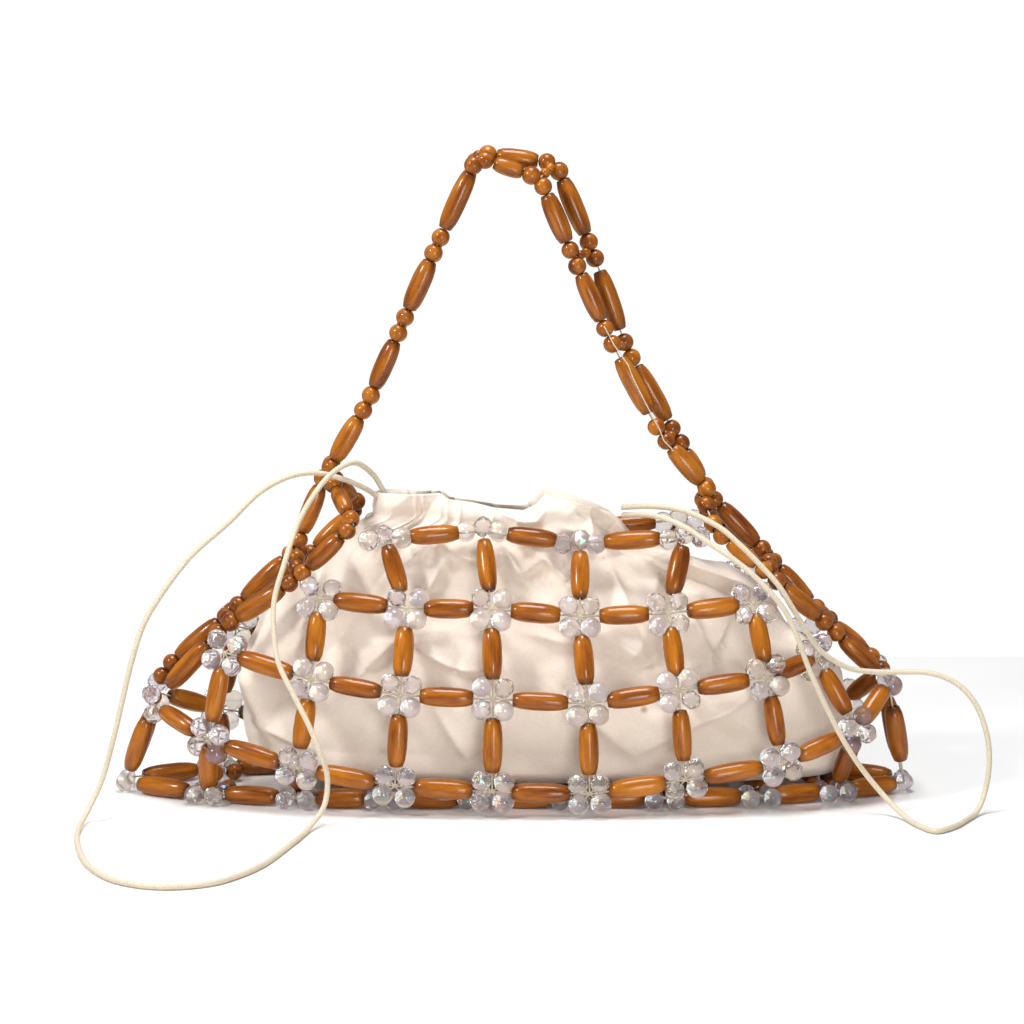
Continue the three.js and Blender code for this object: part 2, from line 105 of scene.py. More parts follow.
# Tones of the wooden beads, from 0 for dark to 1 for pale, and their spread
TONE_SPREAD = 0.24
NET_TONE = 0.5
STRING_TUBE_TONE = 0.4
STRING_ROUND_TONE = 0.28
LINK_TONE = 0.2
BASE_ROUND_TONE = 0.15

Point = tuple[float, ...]


class Slot(Enum):
    """Material slots of the record."""

    WOOD = "wood"
    CRYSTAL = "crystal"
    COTTON = "cotton"
    CORD = "cord"


class Side(Enum):
    """The two sides of the net, with their sign along Y."""

    FRONT = -1
    BACK = 1


@dataclass(frozen=True)
class NetRow:
    """One row of clusters of the front net. Its places are along, depth and height in cells."""

    name: str
    lean: float
    half: float
    rise: float
    places: tuple[Point, ...]


@dataclass(frozen=True)
class SideRoutes:
    """Strings down one side of the bag. Ridge places are along and height, edge ones have depth."""

    name: str
    strap_end: int
    row_end: int
    corner_slack: float
    ridge_toward: Point
    edge_toward: Point
    ridge: tuple[Point, ...]
    edge: tuple[Point, ...]


NET_ROWS = (
    NetRow("row_1", 28, TOP_CLUSTER_HALF, CRYSTAL_HALF, (
        (-1.37, 0.62, 2.86), (-0.34, 0.49, 2.92), (0.69, 0.49, 2.79), (1.79, 0.58, 2.87))),
    NetRow("row_2", 24, CLUSTER_HALF, CLUSTER_HALF, (
        (-2.06, 0.73, 2.24), (-1.14, 0.88, 2.16), (-0.25, 0.93, 2.16),
        (0.68, 0.93, 2.08), (1.61, 0.90, 2.11), (2.51, 0.76, 2.19))),
    NetRow("row_3", 8, CLUSTER_HALF, CLUSTER_HALF, (
        (-3.07, 0.73, 1.66), (-2.14, 1.00, 1.42), (-1.20, 1.17, 1.29), (-0.23, 1.22, 1.26),
        (0.76, 1.22, 1.21), (1.71, 1.17, 1.34), (2.65, 1.02, 1.45), (3.20, 0.58, 1.58))),
    NetRow("row_4", -12, CLUSTER_HALF, CLUSTER_HALF, (
        (-3.89, 0.28, 1.01), (-3.25, 0.78, 0.72), (-2.29, 1.12, 0.50), (-1.26, 1.22, 0.33),
        (-0.24, 1.27, 0.28), (0.78, 1.29, 0.26), (1.78, 1.24, 0.40), (2.80, 1.10, 0.54),
        (3.63, 0.73, 0.82), (4.01, 0.28, 1.25))),
)

# Clusters of the base: along the bag and depth, in cells
BASE_PLACES = ((-3.28, 0.60), (-2.32, 0.80), (-1.38, 0.86), (-0.40, 0.84),
               (0.60, 0.84), (1.58, 0.84), (2.60, 0.72), (3.42, 0.50))
BASE_END = 4.22
BASE_DROPS = (0, 1, 8, 9)
BASE_CROSSED = (2, 4, 5, 7)
BASE_ROUNDS = (1, 3, 6, 8)

# Loose end of thread that lies along the strap's right leg, in mm
LOOSE_THREAD = (
    (38.5, -11.5, 208.1), (42.9, -11.5, 199.9), (49.0, -11.5, 191.2), (51.2, -11.5, 185.5),
    (56.4, -11.5, 175.1), (63.0, -11.5, 162.8), (64.8, -11.5, 158.0), (68.3, -11.5, 154.5))

# Strap strands: along the bag and height of the middle of each pair of rounds, in cells
STRAP_ROUTES = {
    Side.FRONT: ((-1.97, 3.55), (-1.57, 4.24), (-1.20, 5.07), (-0.82, 5.92), (-0.40, 6.84),
                 (0.26, 6.62), (0.62, 5.78), (0.99, 4.95), (1.55, 3.90), (2.05, 3.32)),
    Side.BACK: ((-1.97, 3.55), (-1.58, 4.21), (-1.21, 5.05), (-0.83, 5.90), (-0.38, 6.87),
                (0.43, 6.77), (0.82, 5.85), (1.20, 4.78), (1.73, 3.86), (2.05, 3.32)),
}

SIDE_ROUTES = (
    SideRoutes(
        "left", 0, 0, 2.9, (-2.11, 3.33), (-1.92, 0.22, 3.30),
        ((-2.35, 2.66), (-3.05, 1.97), (-3.78, 1.34), (-3.92, 1.03)),
        ((-1.70, 0.71, 3.02), (-2.31, 0.62, 2.43), (-3.10, 0.50, 1.89))),
    SideRoutes(
        "right", 9, 9, 1.8, (2.18, 3.12), (2.03, 0.24, 3.10),
        ((2.72, 2.58), (3.29, 1.93), (3.92, 1.41), (4.06, 1.12)),
        ((2.12, 0.50, 2.93), (2.70, 0.62, 2.46), (3.36, 0.40, 1.87))),
)

# Drawstring loops, as chosen points in millimetres
DRAWSTRINGS = {
    "drawstring_left": (
        (-58.9, -3, 131.2), (-65, -7, 136.2), (-75, -13, 141.5), (-86, -16, 144.6),
        (-97, -20, 143.8), (-110, -26, 137.7), (-123, -32, 125.5), (-139, -38, 111.7),
        (-151, -43, 96.5), (-159, -46, 83.1), (-164, -49, 67.6), (-168, -51, 51),
        (-172, -53, 34.4), (-177, -55, 16.9), (-182, -62, 6), (-184, -78, 1.9), (-181, -103, 1.4),
        (-171, -139, 1.4), (-157, -160, 1.4), (-140, -168, 1.4), (-121, -163, 1.4),
        (-105, -141, 1.4), (-92, -98, 1.4), (-86, -74, 2.6), (-81, -64, 9), (-80, -61, 20.3),
        (-83, -62, 31.3), (-88, -60, 43), (-95, -56, 56), (-101, -52, 68.2), (-103, -48, 79.6),
        (-103, -44, 93.6), (-99, -40, 108.2), (-94, -32, 123.4), (-88, -26, 134.5),
        (-81, -21, 143.4), (-75, -16, 147.5), (-69, -9, 148), (-62, -4, 142), (-57.6, -2.5, 134.6)),
    "drawstring_right": (
        (47, -4.8, 127.8), (59, -13, 129.5), (71, -21, 129.3), (80, -28, 127), (89, -33, 122.6),
        (97, -36, 115.8), (105, -38, 108), (113, -40, 99.2), (119, -41, 89.6), (125, -40, 79.8),
        (131, -37, 70.9), (138, -35, 65.2), (146, -33, 61.3), (157, -31, 59.6), (168, -30, 59.4),
        (180, -31, 59.1), (191, -33, 55.1), (199, -36, 46.9), (204, -39, 33.5), (205, -41, 21),
        (203, -43, 9), (199, -49, 2.2), (193, -60, 1.4), (186, -72, 1.4), (177, -80, 1.4),
        (171, -70, 1.4), (166, -56, 2.4), (160, -48, 7.5), (151, -46, 18), (143, -48, 29.8),
        (136, -48, 42.5), (130, -48, 55), (125, -47, 66.4), (121, -47, 77.5), (116, -47, 88.4),
        (109, -47, 97.4), (101, -45, 105.2), (92, -42, 112), (83, -38, 117.4), (74, -34, 123),
        (66, -28, 126), (58, -17, 126.2), (47.5, -4.2, 124.3)),
}

# Marks on the cloth: middle in mm, radius in mm, strength and colour
STAINS = (
    ((56.0, -36.0, 44.0), 2.2, 0.75, "#a8642c"),
    ((14.0, -38.0, 31.0), 0.8, 0.5, "#9a8468"),
    ((22.0, -38.0, 27.0), 0.6, 0.45, "#9a8468"),
)


def cells(along: float, depth: float, height: float) -> Vector:
    """Point of the net in millimetres from its place in cells."""
    return Vector((along, depth, height)) * CELL


def clamped(value: float) -> float:
    """Value kept between 0 and 1."""
    return min(max(value, 0.0), 1.0)


def toned(srgb: str) -> tuple[float, float, float, float]:
    """Linear colour with alpha from an sRGB hex value such as "#a3591c"."""
    parts = [int(srgb[i:i + 2], 16) / 255 for i in (1, 3, 5)]
    linear = [c / 12.92 if c <= 0.04045 else ((c + 0.055) / 1.055) ** 2.4 for c in parts]
    return linear[0], linear[1], linear[2], 1.0


class NodeGraph:
    """The node tree of one material, filled node by node."""

    def __init__(self, name: str) -> None:
        """Start an empty material with this name."""
        self.material = bpy.data.materials.new(name)
        self.material.use_nodes = True
        self.tree = self.material.node_tree
        self.tree.nodes.clear()

    def add(self, kind: str, settings: dict | None = None, **inputs: object) -> bpy.types.Node:
        """Add a node.

        Args:
            kind: type name of the node without its ShaderNode prefix.
            settings: attributes of the node itself.
            inputs: socket values or output sockets, by socket name with _ for a space.

        Returns:
            The new node.
        """
        node = self.tree.nodes.new("ShaderNode" + kind)
        for key, value in (settings or {}).items():
            setattr(node, key, value)
        for key, value in inputs.items():
            name = key.replace("_", " ")
            socket = node.inputs[int(name[2:])] if name.startswith("in") else node.inputs[name]
            if isinstance(value, bpy.types.NodeSocket):
                self.tree.links.new(value, socket)
            else:
                socket.default_value = value
        return node

    def attribute(self, name: str, output: str = "Fac") -> bpy.types.NodeSocket:
        """Values that a piece keeps under this name."""
        return self.add("Attribute", {"attribute_name": name}).outputs[output]

    def cloud(self, place: bpy.types.NodeSocket, scale: float, detail: float,
              **inputs: float) -> bpy.types.NodeSocket:
        """Soft noise over a place."""
        return self.add("TexNoise", Vector=place, Scale=scale, Detail=detail,
                        **inputs).outputs["Fac"]

    def added(self, first: bpy.types.NodeSocket, share: float,
              second: object) -> bpy.types.NodeSocket:
        """A share of one value added to another."""
        return self.add("Math", {"operation": "MULTIPLY_ADD"}, in0=first, in1=share,
                        in2=second).outputs[0]

    def mix(self, share: bpy.types.NodeSocket, first: object, second: str,
            blend: str = "MIX") -> bpy.types.NodeSocket:
        """A colour with a share of an sRGB hex colour mixed in."""
        return self.add("MixRGB", {"blend_type": blend}, Fac=share, Color1=first,
                        Color2=toned(second)).outputs[0]

    def ramp(self, factor: bpy.types.NodeSocket,
             stops: Sequence[tuple[float, str]]) -> bpy.types.NodeSocket:
        """Colour ramp over a factor, from stops of place and sRGB hex colour."""
        node = self.add("ValToRGB", Fac=factor)
        ramp = node.color_ramp
        while len(ramp.elements) < len(stops):
            ramp.elements.new(1.0)
        for element, (place, colour) in zip(ramp.elements, stops):
            element.position = place
            element.color = toned(colour)
        return node.outputs["Color"]

    def curve(self, factor: bpy.types.NodeSocket, low: float, high: float, to_low: float,
              to_high: float) -> bpy.types.NodeSocket:
        """Map a factor from one range of values to another."""
        return self.add("MapRange", in0=factor, in1=low, in2=high, in3=to_low,
                        in4=to_high).outputs[0]

    def finish(self, surface: bpy.types.NodeSocket) -> bpy.types.Material:
        """Send a surface to the output and return the material."""
        self.add("OutputMaterial", Surface=surface)
        return self.material


@dataclass(frozen=True)
class WoodFinish:
    """Varnished wood: clear gloss varnish over fine-grained amber wood, so a bead shows a warm
    body colour, fine dark streaks along it and a bright streak of light on its crown."""

    name: str = "varnished_amber_wood"
    dark: str = "#431604"
    middle: str = "#8b4a0a"
    light: str = "#b66e12"
    ring: str = "#2c1003"
    # painted shade: the colour painted into the drilled holes and onto the long beads' narrowed ends
    pore: str = "#8a5a38"
    grain_mm: float = 0.55
    varnish_roughness: float = 0.12

    def build(self) -> bpy.types.Material:
        """Return the material; it reads each bead's own place, tone and painted shade."""
        g = NodeGraph(self.name)
        place = g.attribute("bead_place", "Vector")
        along = g.add("Mapping", Vector=place, Scale=(1.0, 1.0, 0.07)).outputs[0]
        streak = g.cloud(along, 1 / self.grain_mm, 4.0, Roughness=0.6)
        wide = g.add("Mapping", Vector=place, Scale=(1.0, 1.0, 0.16)).outputs[0]
        cloud = g.cloud(wide, 0.28, 2.0)
        grain = g.added(streak, 0.45, g.curve(cloud, 0.3, 0.7, 0.0, 0.42))
        depth = g.added(g.attribute("bead_tone"), 0.34, grain)
        body = g.ramp(depth, ((0.16, self.dark), (0.5, self.middle), (0.86, self.light)))
        pore = g.cloud(along, 2.6 / self.grain_mm, 2.0)
        lines = g.curve(pore, 0.60, 0.70, 0.0, 0.45)
        streaked = g.mix(lines, body, self.pore, "MULTIPLY")
        # Painted shade: the holes and the narrowed ends of the long beads are mixed toward the dark
        # hole colour
        ends = g.mix(g.attribute("bead_dark"), streaked, self.ring)
        height = g.add("Bump", Strength=0.10, Distance=0.12 * MM, Height=streak).outputs[0]
        rough = g.curve(cloud, 0.3, 0.7, 0.26, 0.38)
        shader = g.add("BsdfPrincipled", Base_Color=ends, Roughness=rough, Normal=height,
                       Coat_Weight=0.42, Coat_Roughness=self.varnish_roughness, Coat_IOR=1.5,
                       IOR=1.25)
        return g.finish(shader.outputs[0])


@dataclass(frozen=True)
class CrystalFinish:
    """Clear faceted glass with a faint iridescent film, so its facets flash white and show pale
    lavender and pink beside grey, and let the wood or cloth behind show through."""

    name: str = "clear_crystal_glass"
    tints: tuple[tuple[float, str], ...] = ((0.0, "#e6dcd2"), (0.5, "#ece6e3"), (1.0, "#e2dbe0"))
    film_nanometres: float = 250.0
    film_change: float = 160.0

    def build(self) -> bpy.types.Material:
        """Return the material; each bead's tone moves its film and its tint."""
        g = NodeGraph(self.name)
        patch = g.cloud(g.attribute("bead_place", "Vector"), 0.35, 1.0)
        film = g.added(patch, self.film_change, self.film_nanometres)
        tint = g.ramp(g.attribute("bead_tone"), self.tints)
        shader = g.add("BsdfPrincipled", Base_Color=tint, Roughness=0.05, IOR=1.6,
                       Transmission_Weight=0.88, Thin_Film_Thickness=film, Thin_Film_IOR=1.40,
                       Coat_Weight=0.3, Coat_Roughness=0.2, Coat_IOR=1.9)
        return g.finish(shader.outputs[0])


@dataclass(frozen=True)
class ClothFinish:
    """Plain-woven cream cotton: matt, soft, with a fine weave, faint slubs and a little sheen at
    grazing angles; a rust spot and a few specks where the photographed pouch has them."""

    name: str = "cream_cotton"
    colour: str = "#f3e8db"
    shade: str = "#eee1d2"
    slub_colour: str = "#cfc0ac"
    thread_mm: float = 0.42

    def build(self) -> bpy.types.Material:
        """Return the material; the weave follows the cloth's own map, which is in metres."""
        g = NodeGraph(self.name)
        uv = g.add("UVMap", {"uv_map": "cloth"}).outputs[0]
        warp, weft = (g.add("TexWave", {"bands_direction": direction}, Vector=uv,
                            Scale=1.0 / (self.thread_mm * MM) / 6.2832, Distortion=0.6,
                            Detail=1.0).outputs["Fac"] for direction in "XY")
        weave = g.add("Math", {"operation": "ADD"}, in0=warp, in1=weft).outputs[0]
        where = g.add("TexCoord").outputs["Object"]
        body = g.ramp(g.cloud(where, 26.0, 3.0), ((0.3, self.shade), (0.65, self.colour)))
        slub = g.curve(g.cloud(where, 900.0, 2.0), 0.35, 0.65, 0.12, 0.0)
        colour = g.mix(slub, body, self.slub_colour, "MULTIPLY")
        for spot, radius, strength, hue in STAINS:
            away = g.add("VectorMath", {"operation": "DISTANCE"}, in0=where,
                         in1=[c * MM for c in spot]).outputs["Value"]
            mask = g.curve(away, radius * MM, 0.3 * radius * MM, 0.0, strength)
            colour = g.mix(mask, colour, hue)
        height = g.add("Bump", Strength=0.12, Distance=0.10 * MM, Height=weave).outputs[0]
        soft = g.add("Bump", Strength=0.08, Distance=0.6 * MM, Normal=height,
                     Height=g.cloud(where, 160.0, 3.0))
        shader = g.add("BsdfPrincipled", Base_Color=colour, Roughness=0.86, IOR=1.45,
                       Normal=soft.outputs[0], Sheen_Weight=0.25, Sheen_Roughness=0.5,
                       Subsurface_Weight=0.02, Subsurface_Scale=0.001)
        return g.finish(shader.outputs[0])


@dataclass(frozen=True)
class CordFinish:
    """Round waxed cotton cord: matt cream with a fine twill of strands turning round it."""

    name: str = "cotton_cord"
    colour: str = "#d6cab4"
    shade: str = "#ab9b7f"

    def build(self) -> bpy.types.Material:
        """Return the material; it reads the cord's own map, along and around."""
        g = NodeGraph(self.name)
        uv = g.add("TexCoord").outputs["UV"]
        turned = g.add("Mapping", Vector=uv, Rotation=(0.0, 0.0, 0.6), Scale=(900.0, 5.0, 1.0))
        strands = g.add("TexWave", {"bands_direction": "X"}, Vector=turned.outputs[0],
                        Scale=0.16, Distortion=0.4).outputs["Fac"]
        where = g.add("TexCoord").outputs["Object"]
        fuzz = g.cloud(where, 2200.0, 2.0)
        colour = g.ramp(g.curve(fuzz, 0.3, 0.7, 0.2, 1.0), ((0.0, self.shade), (0.7, self.colour)))
        height = g.add("Bump", Strength=0.3, Distance=0.15 * MM,
                       Height=g.add("Math", {"operation": "ADD"}, in0=strands, in1=fuzz).outputs[0])
        shader = g.add("BsdfPrincipled", Base_Color=colour, Roughness=0.8, IOR=1.45,
                       Normal=height.outputs[0], Sheen_Weight=0.2, Sheen_Roughness=0.4)
        return g.finish(shader.outputs[0])


class Workbench:
    """Edit-mode work on one mesh object at a time."""

    @staticmethod
    def clear_selection() -> None:
        """Deselect every object."""
        if bpy.context.object and bpy.context.object.mode != "OBJECT":
            bpy.ops.object.mode_set(mode="OBJECT")
        bpy.ops.object.select_all(action="DESELECT")

    @staticmethod
    def activate(obj: bpy.types.Object) -> None:
        """Select one object alone and make it the active one."""
        Workbench.clear_selection()
        obj.select_set(True)
        bpy.context.view_layer.objects.active = obj

    @staticmethod
    def pick(obj: bpy.types.Object, kind: str, test: Callable[..., bool]) -> None:
        """Enter edit mode with the elements of one kind that pass a test selected.

        Args:
            obj: the active mesh object.
            kind: "VERT", "EDGE" or "FACE".
            test: takes the element and the mesh.
        """
        bpy.ops.object.mode_set(mode="EDIT")
        bpy.ops.mesh.select_mode(type=kind)
        bpy.ops.mesh.select_all(action="DESELECT")
        bpy.ops.object.mode_set(mode="OBJECT")
        mesh = obj.data
        elements = {"VERT": mesh.vertices, "EDGE": mesh.edges, "FACE": mesh.polygons}[kind]
        for element in elements:
            element.select = test(element, mesh)
        bpy.ops.object.mode_set(mode="EDIT")

    @staticmethod
    def scale(x: float, y: float, z: float) -> None:
        """Scale what is selected in edit mode about the origin."""
        bpy.ops.transform.resize(value=(x, y, z), center_override=(0, 0, 0))

    @staticmethod
    def leave() -> None:
        """Go back to object mode."""
        bpy.ops.object.mode_set(mode="OBJECT")

    @staticmethod
    def reshape(obj: bpy.types.Object, test: Callable[[Vector], bool], *shares: float) -> None:
        """Scale the vertices whose places pass a test by shares along X, Y and Z."""
        Workbench.pick(obj, "VERT", lambda v, _: test(v.co))
        Workbench.scale(*shares)
        Workbench.leave()

    @staticmethod
    def cut_across(obj: bpy.types.Object, cuts: int) -> None:
        """Cut the upright edges of a cylinder into equal parts."""
        Workbench.pick(obj, "EDGE", lambda e, m: abs(
            m.vertices[e.vertices[0]].co.z - m.vertices[e.vertices[1]].co.z) > 0.5)
        bpy.ops.mesh.subdivide(number_cuts=cuts)
        Workbench.leave()


class BeadKind(Enum):
    """The beads that the bag is strung from."""

    TUBE = "tube"
    ROUND = "round"
    SMALL = "small"
    CRYSTAL = "crystal"
    DROP = "drop"
    THREAD = "thread"
    KNOT = "knot"


@dataclass(frozen=True)
class Bead:
    """One bead in its place on a string, in millimetres. Its hole runs along its axis."""

    kind: BeadKind
    place: Vector
    axis: Vector
    length: float = 1.0
    width: float = 1.0
    roll: float = 0.0
    tone: float = 0.5


@dataclass
class BeadPatterns:
    """The one modelled bead of each kind, about the origin with its hole along Z."""

    sides: int = 16
    tube_profile: tuple[float, ...] = (1.03, 1.03, 0.99, 0.91)
    tube_end: float = 0.70
    chamfer: float = 0.5
    hole: float = 1.15
    # Painted shade: reach of the full shade round a long bead's hole, and the share painted on its
    # narrowed ends
    shade_reach: float = 2.2
    end_shade: float = 0.45
    meshes: dict[BeadKind, bpy.types.Mesh] = field(default_factory=dict)

    def make_all(self) -> None:
        """Model every kind of bead once."""
        self.keep(BeadKind.TUBE, self.tube())
        self.keep(BeadKind.ROUND, self.round_bead(ROUND_RADIUS, 12))
        self.keep(BeadKind.SMALL, self.round_bead(SMALL_RADIUS, 8))
        self.keep(BeadKind.CRYSTAL, self.crystal())
        self.keep(BeadKind.DROP, self.drop())
        self.keep(BeadKind.THREAD, self.thread())
        self.keep(BeadKind.KNOT, self.knot())

    def keep(self, kind: BeadKind, obj: bpy.types.Object) -> None:
        """Keep an object's mesh as the pattern of a kind, with its own places as an attribute."""
        mesh = obj.data
        mesh.name = f"pattern_{kind.value}"
        place = mesh.attributes.new("bead_place", "FLOAT_VECTOR", "POINT")
        place.data.foreach_set("vector", [c for v in mesh.vertices for c in v.co])
        # Painted shade in the drilled holes and on the long beads' narrowed ends
        dark = mesh.attributes.new("bead_dark", "FLOAT", "POINT")
        dark.data.foreach_set("value", [self.painted_shade_at(kind, v.co) for v in mesh.vertices])
        mesh.attributes.new("bead_tone", "FLOAT", "POINT")
        bpy.data.objects.remove(obj)
        self.meshes[kind] = mesh

    def painted_shade_at(self, kind: BeadKind, co: Vector) -> float:
        """Painted shade of a wooden bead at a point: in its hole and at a long bead's ends."""
        across = co.xy.length
        if kind is BeadKind.TUBE:
            if abs(co.z) < 0.44 * TUBE_LENGTH:
                return 0.0
            return 1.0 if across < self.shade_reach else self.end_shade
        return 1.0 if across < 0.3 * ROUND_RADIUS and kind is BeadKind.ROUND else 0.0

    def tube(self) -> bpy.types.Object:
        """Long barrel bead with narrowed, chamfered ends and a drilled hole at each."""
        bpy.ops.mesh.primitive_cylinder_add(vertices=self.sides, radius=TUBE_RADIUS,
                                            depth=TUBE_LENGTH)
        obj = bpy.context.object
        rings = 2 * len(self.tube_profile)
        Workbench.cut_across(obj, rings - 1)
        for step, share in enumerate(self.tube_profile):
            level = step * TUBE_LENGTH / rings
            Workbench.reshape(obj, lambda co: abs(abs(co.z) - level) < 0.01, share, share, 1.0)
        Workbench.reshape(obj, lambda co: abs(co.z) > 0.49 * TUBE_LENGTH, self.tube_end,
                          self.tube_end, 1.0)
        Workbench.pick(obj, "FACE", lambda f, _: abs(f.normal.z) > 0.9)
        bpy.ops.mesh.inset(thickness=self.chamfer, depth=0.7 * self.chamfer)
        bpy.ops.mesh.inset(thickness=TUBE_RADIUS * self.tube_end - self.chamfer - self.hole)
        bpy.ops.mesh.extrude_region_move()
        Workbench.scale(0.9, 0.9, 0.86)
        Workbench.leave()
        bpy.ops.object.shade_smooth_by_angle(angle=math.radians(40))
        return obj

    def round_bead(self, radius: float, rings: int) -> bpy.types.Object:
        """Round bead whose poles are pushed in to a drilled hole."""
        bpy.ops.mesh.primitive_uv_sphere_add(segments=self.sides, ring_count=rings, radius=radius)
        obj = bpy.context.object
        Workbench.reshape(obj, lambda co: abs(co.z) > 0.999 * radius, 1.0, 1.0, 0.55)
        Workbench.reshape(obj, lambda co: co.xy.length < 0.4 * radius, 1.0, 1.0, 0.97)
        bpy.ops.object.shade_smooth_by_angle(angle=math.radians(50))
        return obj

    def crystal(self) -> bpy.types.Object:
        """Faceted crystal: rings of eight facets, each turned half a facet to the next."""
        bpy.ops.mesh.primitive_uv_sphere_add(segments=8, ring_count=6, radius=CRYSTAL_HALF)
        obj = bpy.context.object
        for share in (0.0, math.cos(math.radians(30)), -math.cos(math.radians(30))):
            Workbench.pick(obj, "VERT", lambda v, _: abs(v.co.z - share * CRYSTAL_HALF) < 0.05)
            bpy.ops.transform.rotate(value=math.radians(22.5), orient_axis="Z",
                                     center_override=(0, 0, 0))
            Workbench.leave()
        Workbench.reshape(obj, lambda co: abs(co.z) > 0.99 * CRYSTAL_HALF, 1.0, 1.0, 0.72)
        Workbench.pick(obj, "FACE", lambda *_: True)
        bpy.ops.mesh.quads_convert_to_tris()
        Workbench.scale(1.0, 1.0, 0.93)
        Workbench.leave()
        bpy.ops.object.shade_flat()
        return obj

    def drop(self) -> bpy.types.Object:
        """Crystal with worn, rounded facets, which gathers light in one soft round spot."""
        bpy.ops.mesh.primitive_uv_sphere_add(segments=14, ring_count=9, radius=CRYSTAL_HALF)
        obj = bpy.context.object
        Workbench.reshape(obj, lambda co: abs(co.z) > 0.99 * CRYSTAL_HALF, 1.0, 1.0, 0.86)
        bpy.ops.object.shade_smooth()
        return obj

    def thread(self) -> bpy.types.Object:
        """One millimetre of thread, which each copy draws out to its own length."""
        bpy.ops.mesh.primitive_cylinder_add(vertices=6, radius=THREAD_RADIUS, depth=1.0)
        obj = bpy.context.object
        Workbench.cut_across(obj, 1)
        Workbench.reshape(obj, lambda co: abs(co.z) < 0.01, 0.9, 0.9, 1.0)
        bpy.ops.object.shade_smooth_by_angle(angle=math.radians(70))
        return obj

    def knot(self) -> bpy.types.Object:
        """Small knot of thread, a little flattened and lumpy."""
        bpy.ops.mesh.primitive_ico_sphere_add(subdivisions=2, radius=1.5 * THREAD_RADIUS)
        obj = bpy.context.object
        Workbench.reshape(obj, lambda co: co.x + co.y > 0.6 * THREAD_RADIUS, 1.25, 1.1, 0.8)
        bpy.ops.object.shade_smooth()
        return obj


@dataclass
class Stringer:
    """Copies the bead patterns along a string and joins them into finished pieces."""

    patterns: BeadPatterns
    materials: dict[Slot, bpy.types.Material]
    dice: random.Random

    def copy_of(self, bead: Bead) -> bpy.types.Object:
        """Copy of a pattern at one bead's place, with its own mesh."""
        mesh = self.patterns.meshes[bead.kind].copy()
        obj = bpy.data.objects.new(bead.kind.value, mesh)
        bpy.context.scene.collection.objects.link(obj)
        turn = Vector((0, 0, 1)).rotation_difference(bead.axis).to_matrix().to_4x4()
        size = Matrix.Diagonal((bead.width, bead.width, bead.length, 1.0))
        shrink = Matrix.Diagonal((MM, MM, MM, 1.0))
        obj.matrix_world = (shrink @ Matrix.Translation(bead.place) @ turn
                            @ Matrix.Rotation(bead.roll, 4, "Z") @ size)
        count = len(mesh.vertices)
        shift = [self.dice.uniform(0, 400) for _ in range(3)]
        places = [c + s for v in mesh.vertices for c, s in zip(v.co, shift)]
        mesh.attributes["bead_place"].data.foreach_set("vector", places)
        mesh.attributes["bead_tone"].data.foreach_set("value", [bead.tone] * count)
        return obj

    def piece(self, name: str, beads: Sequence[Bead], slot: Slot) -> bpy.types.Object:
        """Join copies of these beads into one piece that rides on the bag.

        Args:
            name: name of the piece.
            beads: its beads.
            slot: material slot of the record that it is made of.

        Returns:
            The finished piece.
        """
        copies = [self.copy_of(bead) for bead in beads]
        Workbench.clear_selection()
        for obj in copies:
            obj.select_set(True)
        bpy.context.view_layer.objects.active = copies[0]
        bpy.ops.object.transform_apply(location=True, rotation=True, scale=True)
        bpy.ops.object.join()
        obj = bpy.context.object
        obj.name = obj.data.name = name
        obj.data.materials.clear()
        obj.data.materials.append(self.materials[slot])
        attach(obj, BODY)
        return obj

    def string(self, node: str, beads: Sequence[Bead]) -> None:
        """Make the pieces of one string and let them stand for its node."""
        groups = {
            "wood": (Slot.WOOD, (BeadKind.TUBE, BeadKind.ROUND, BeadKind.SMALL)),
            "crystals": (Slot.CRYSTAL, (BeadKind.CRYSTAL, BeadKind.DROP)),
            "threads": (Slot.CORD, (BeadKind.THREAD, BeadKind.KNOT)),
        }
        for suffix, (slot, kinds) in groups.items():
            chosen = [bead for bead in beads if bead.kind in kinds]
            if chosen:
                obj = self.piece(f"{node}_{suffix}", chosen, slot)
                if slot is Slot.WOOD:
                    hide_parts(node)


class Layout(Enum):
    """How the crystals of a cluster lie."""

    FOUR = "four"
    TRIO = "trio"
    PAIR = "pair"
    ONE = "one"


# Places of the crystals in a cluster, across and up, in crystal half widths
LAYOUTS = {
    Layout.FOUR: ((-1.13, 1.11), (1.13, 1.13), (1.11, -1.13), (-1.13, -1.11)),
    Layout.TRIO: ((-1.72, -0.12), (0.0, 0.42), (1.66, -0.06)),
    Layout.PAIR: ((-0.35, 1.05), (0.35, -1.05)),
    Layout.ONE: ((0.0, 0.0),),
}


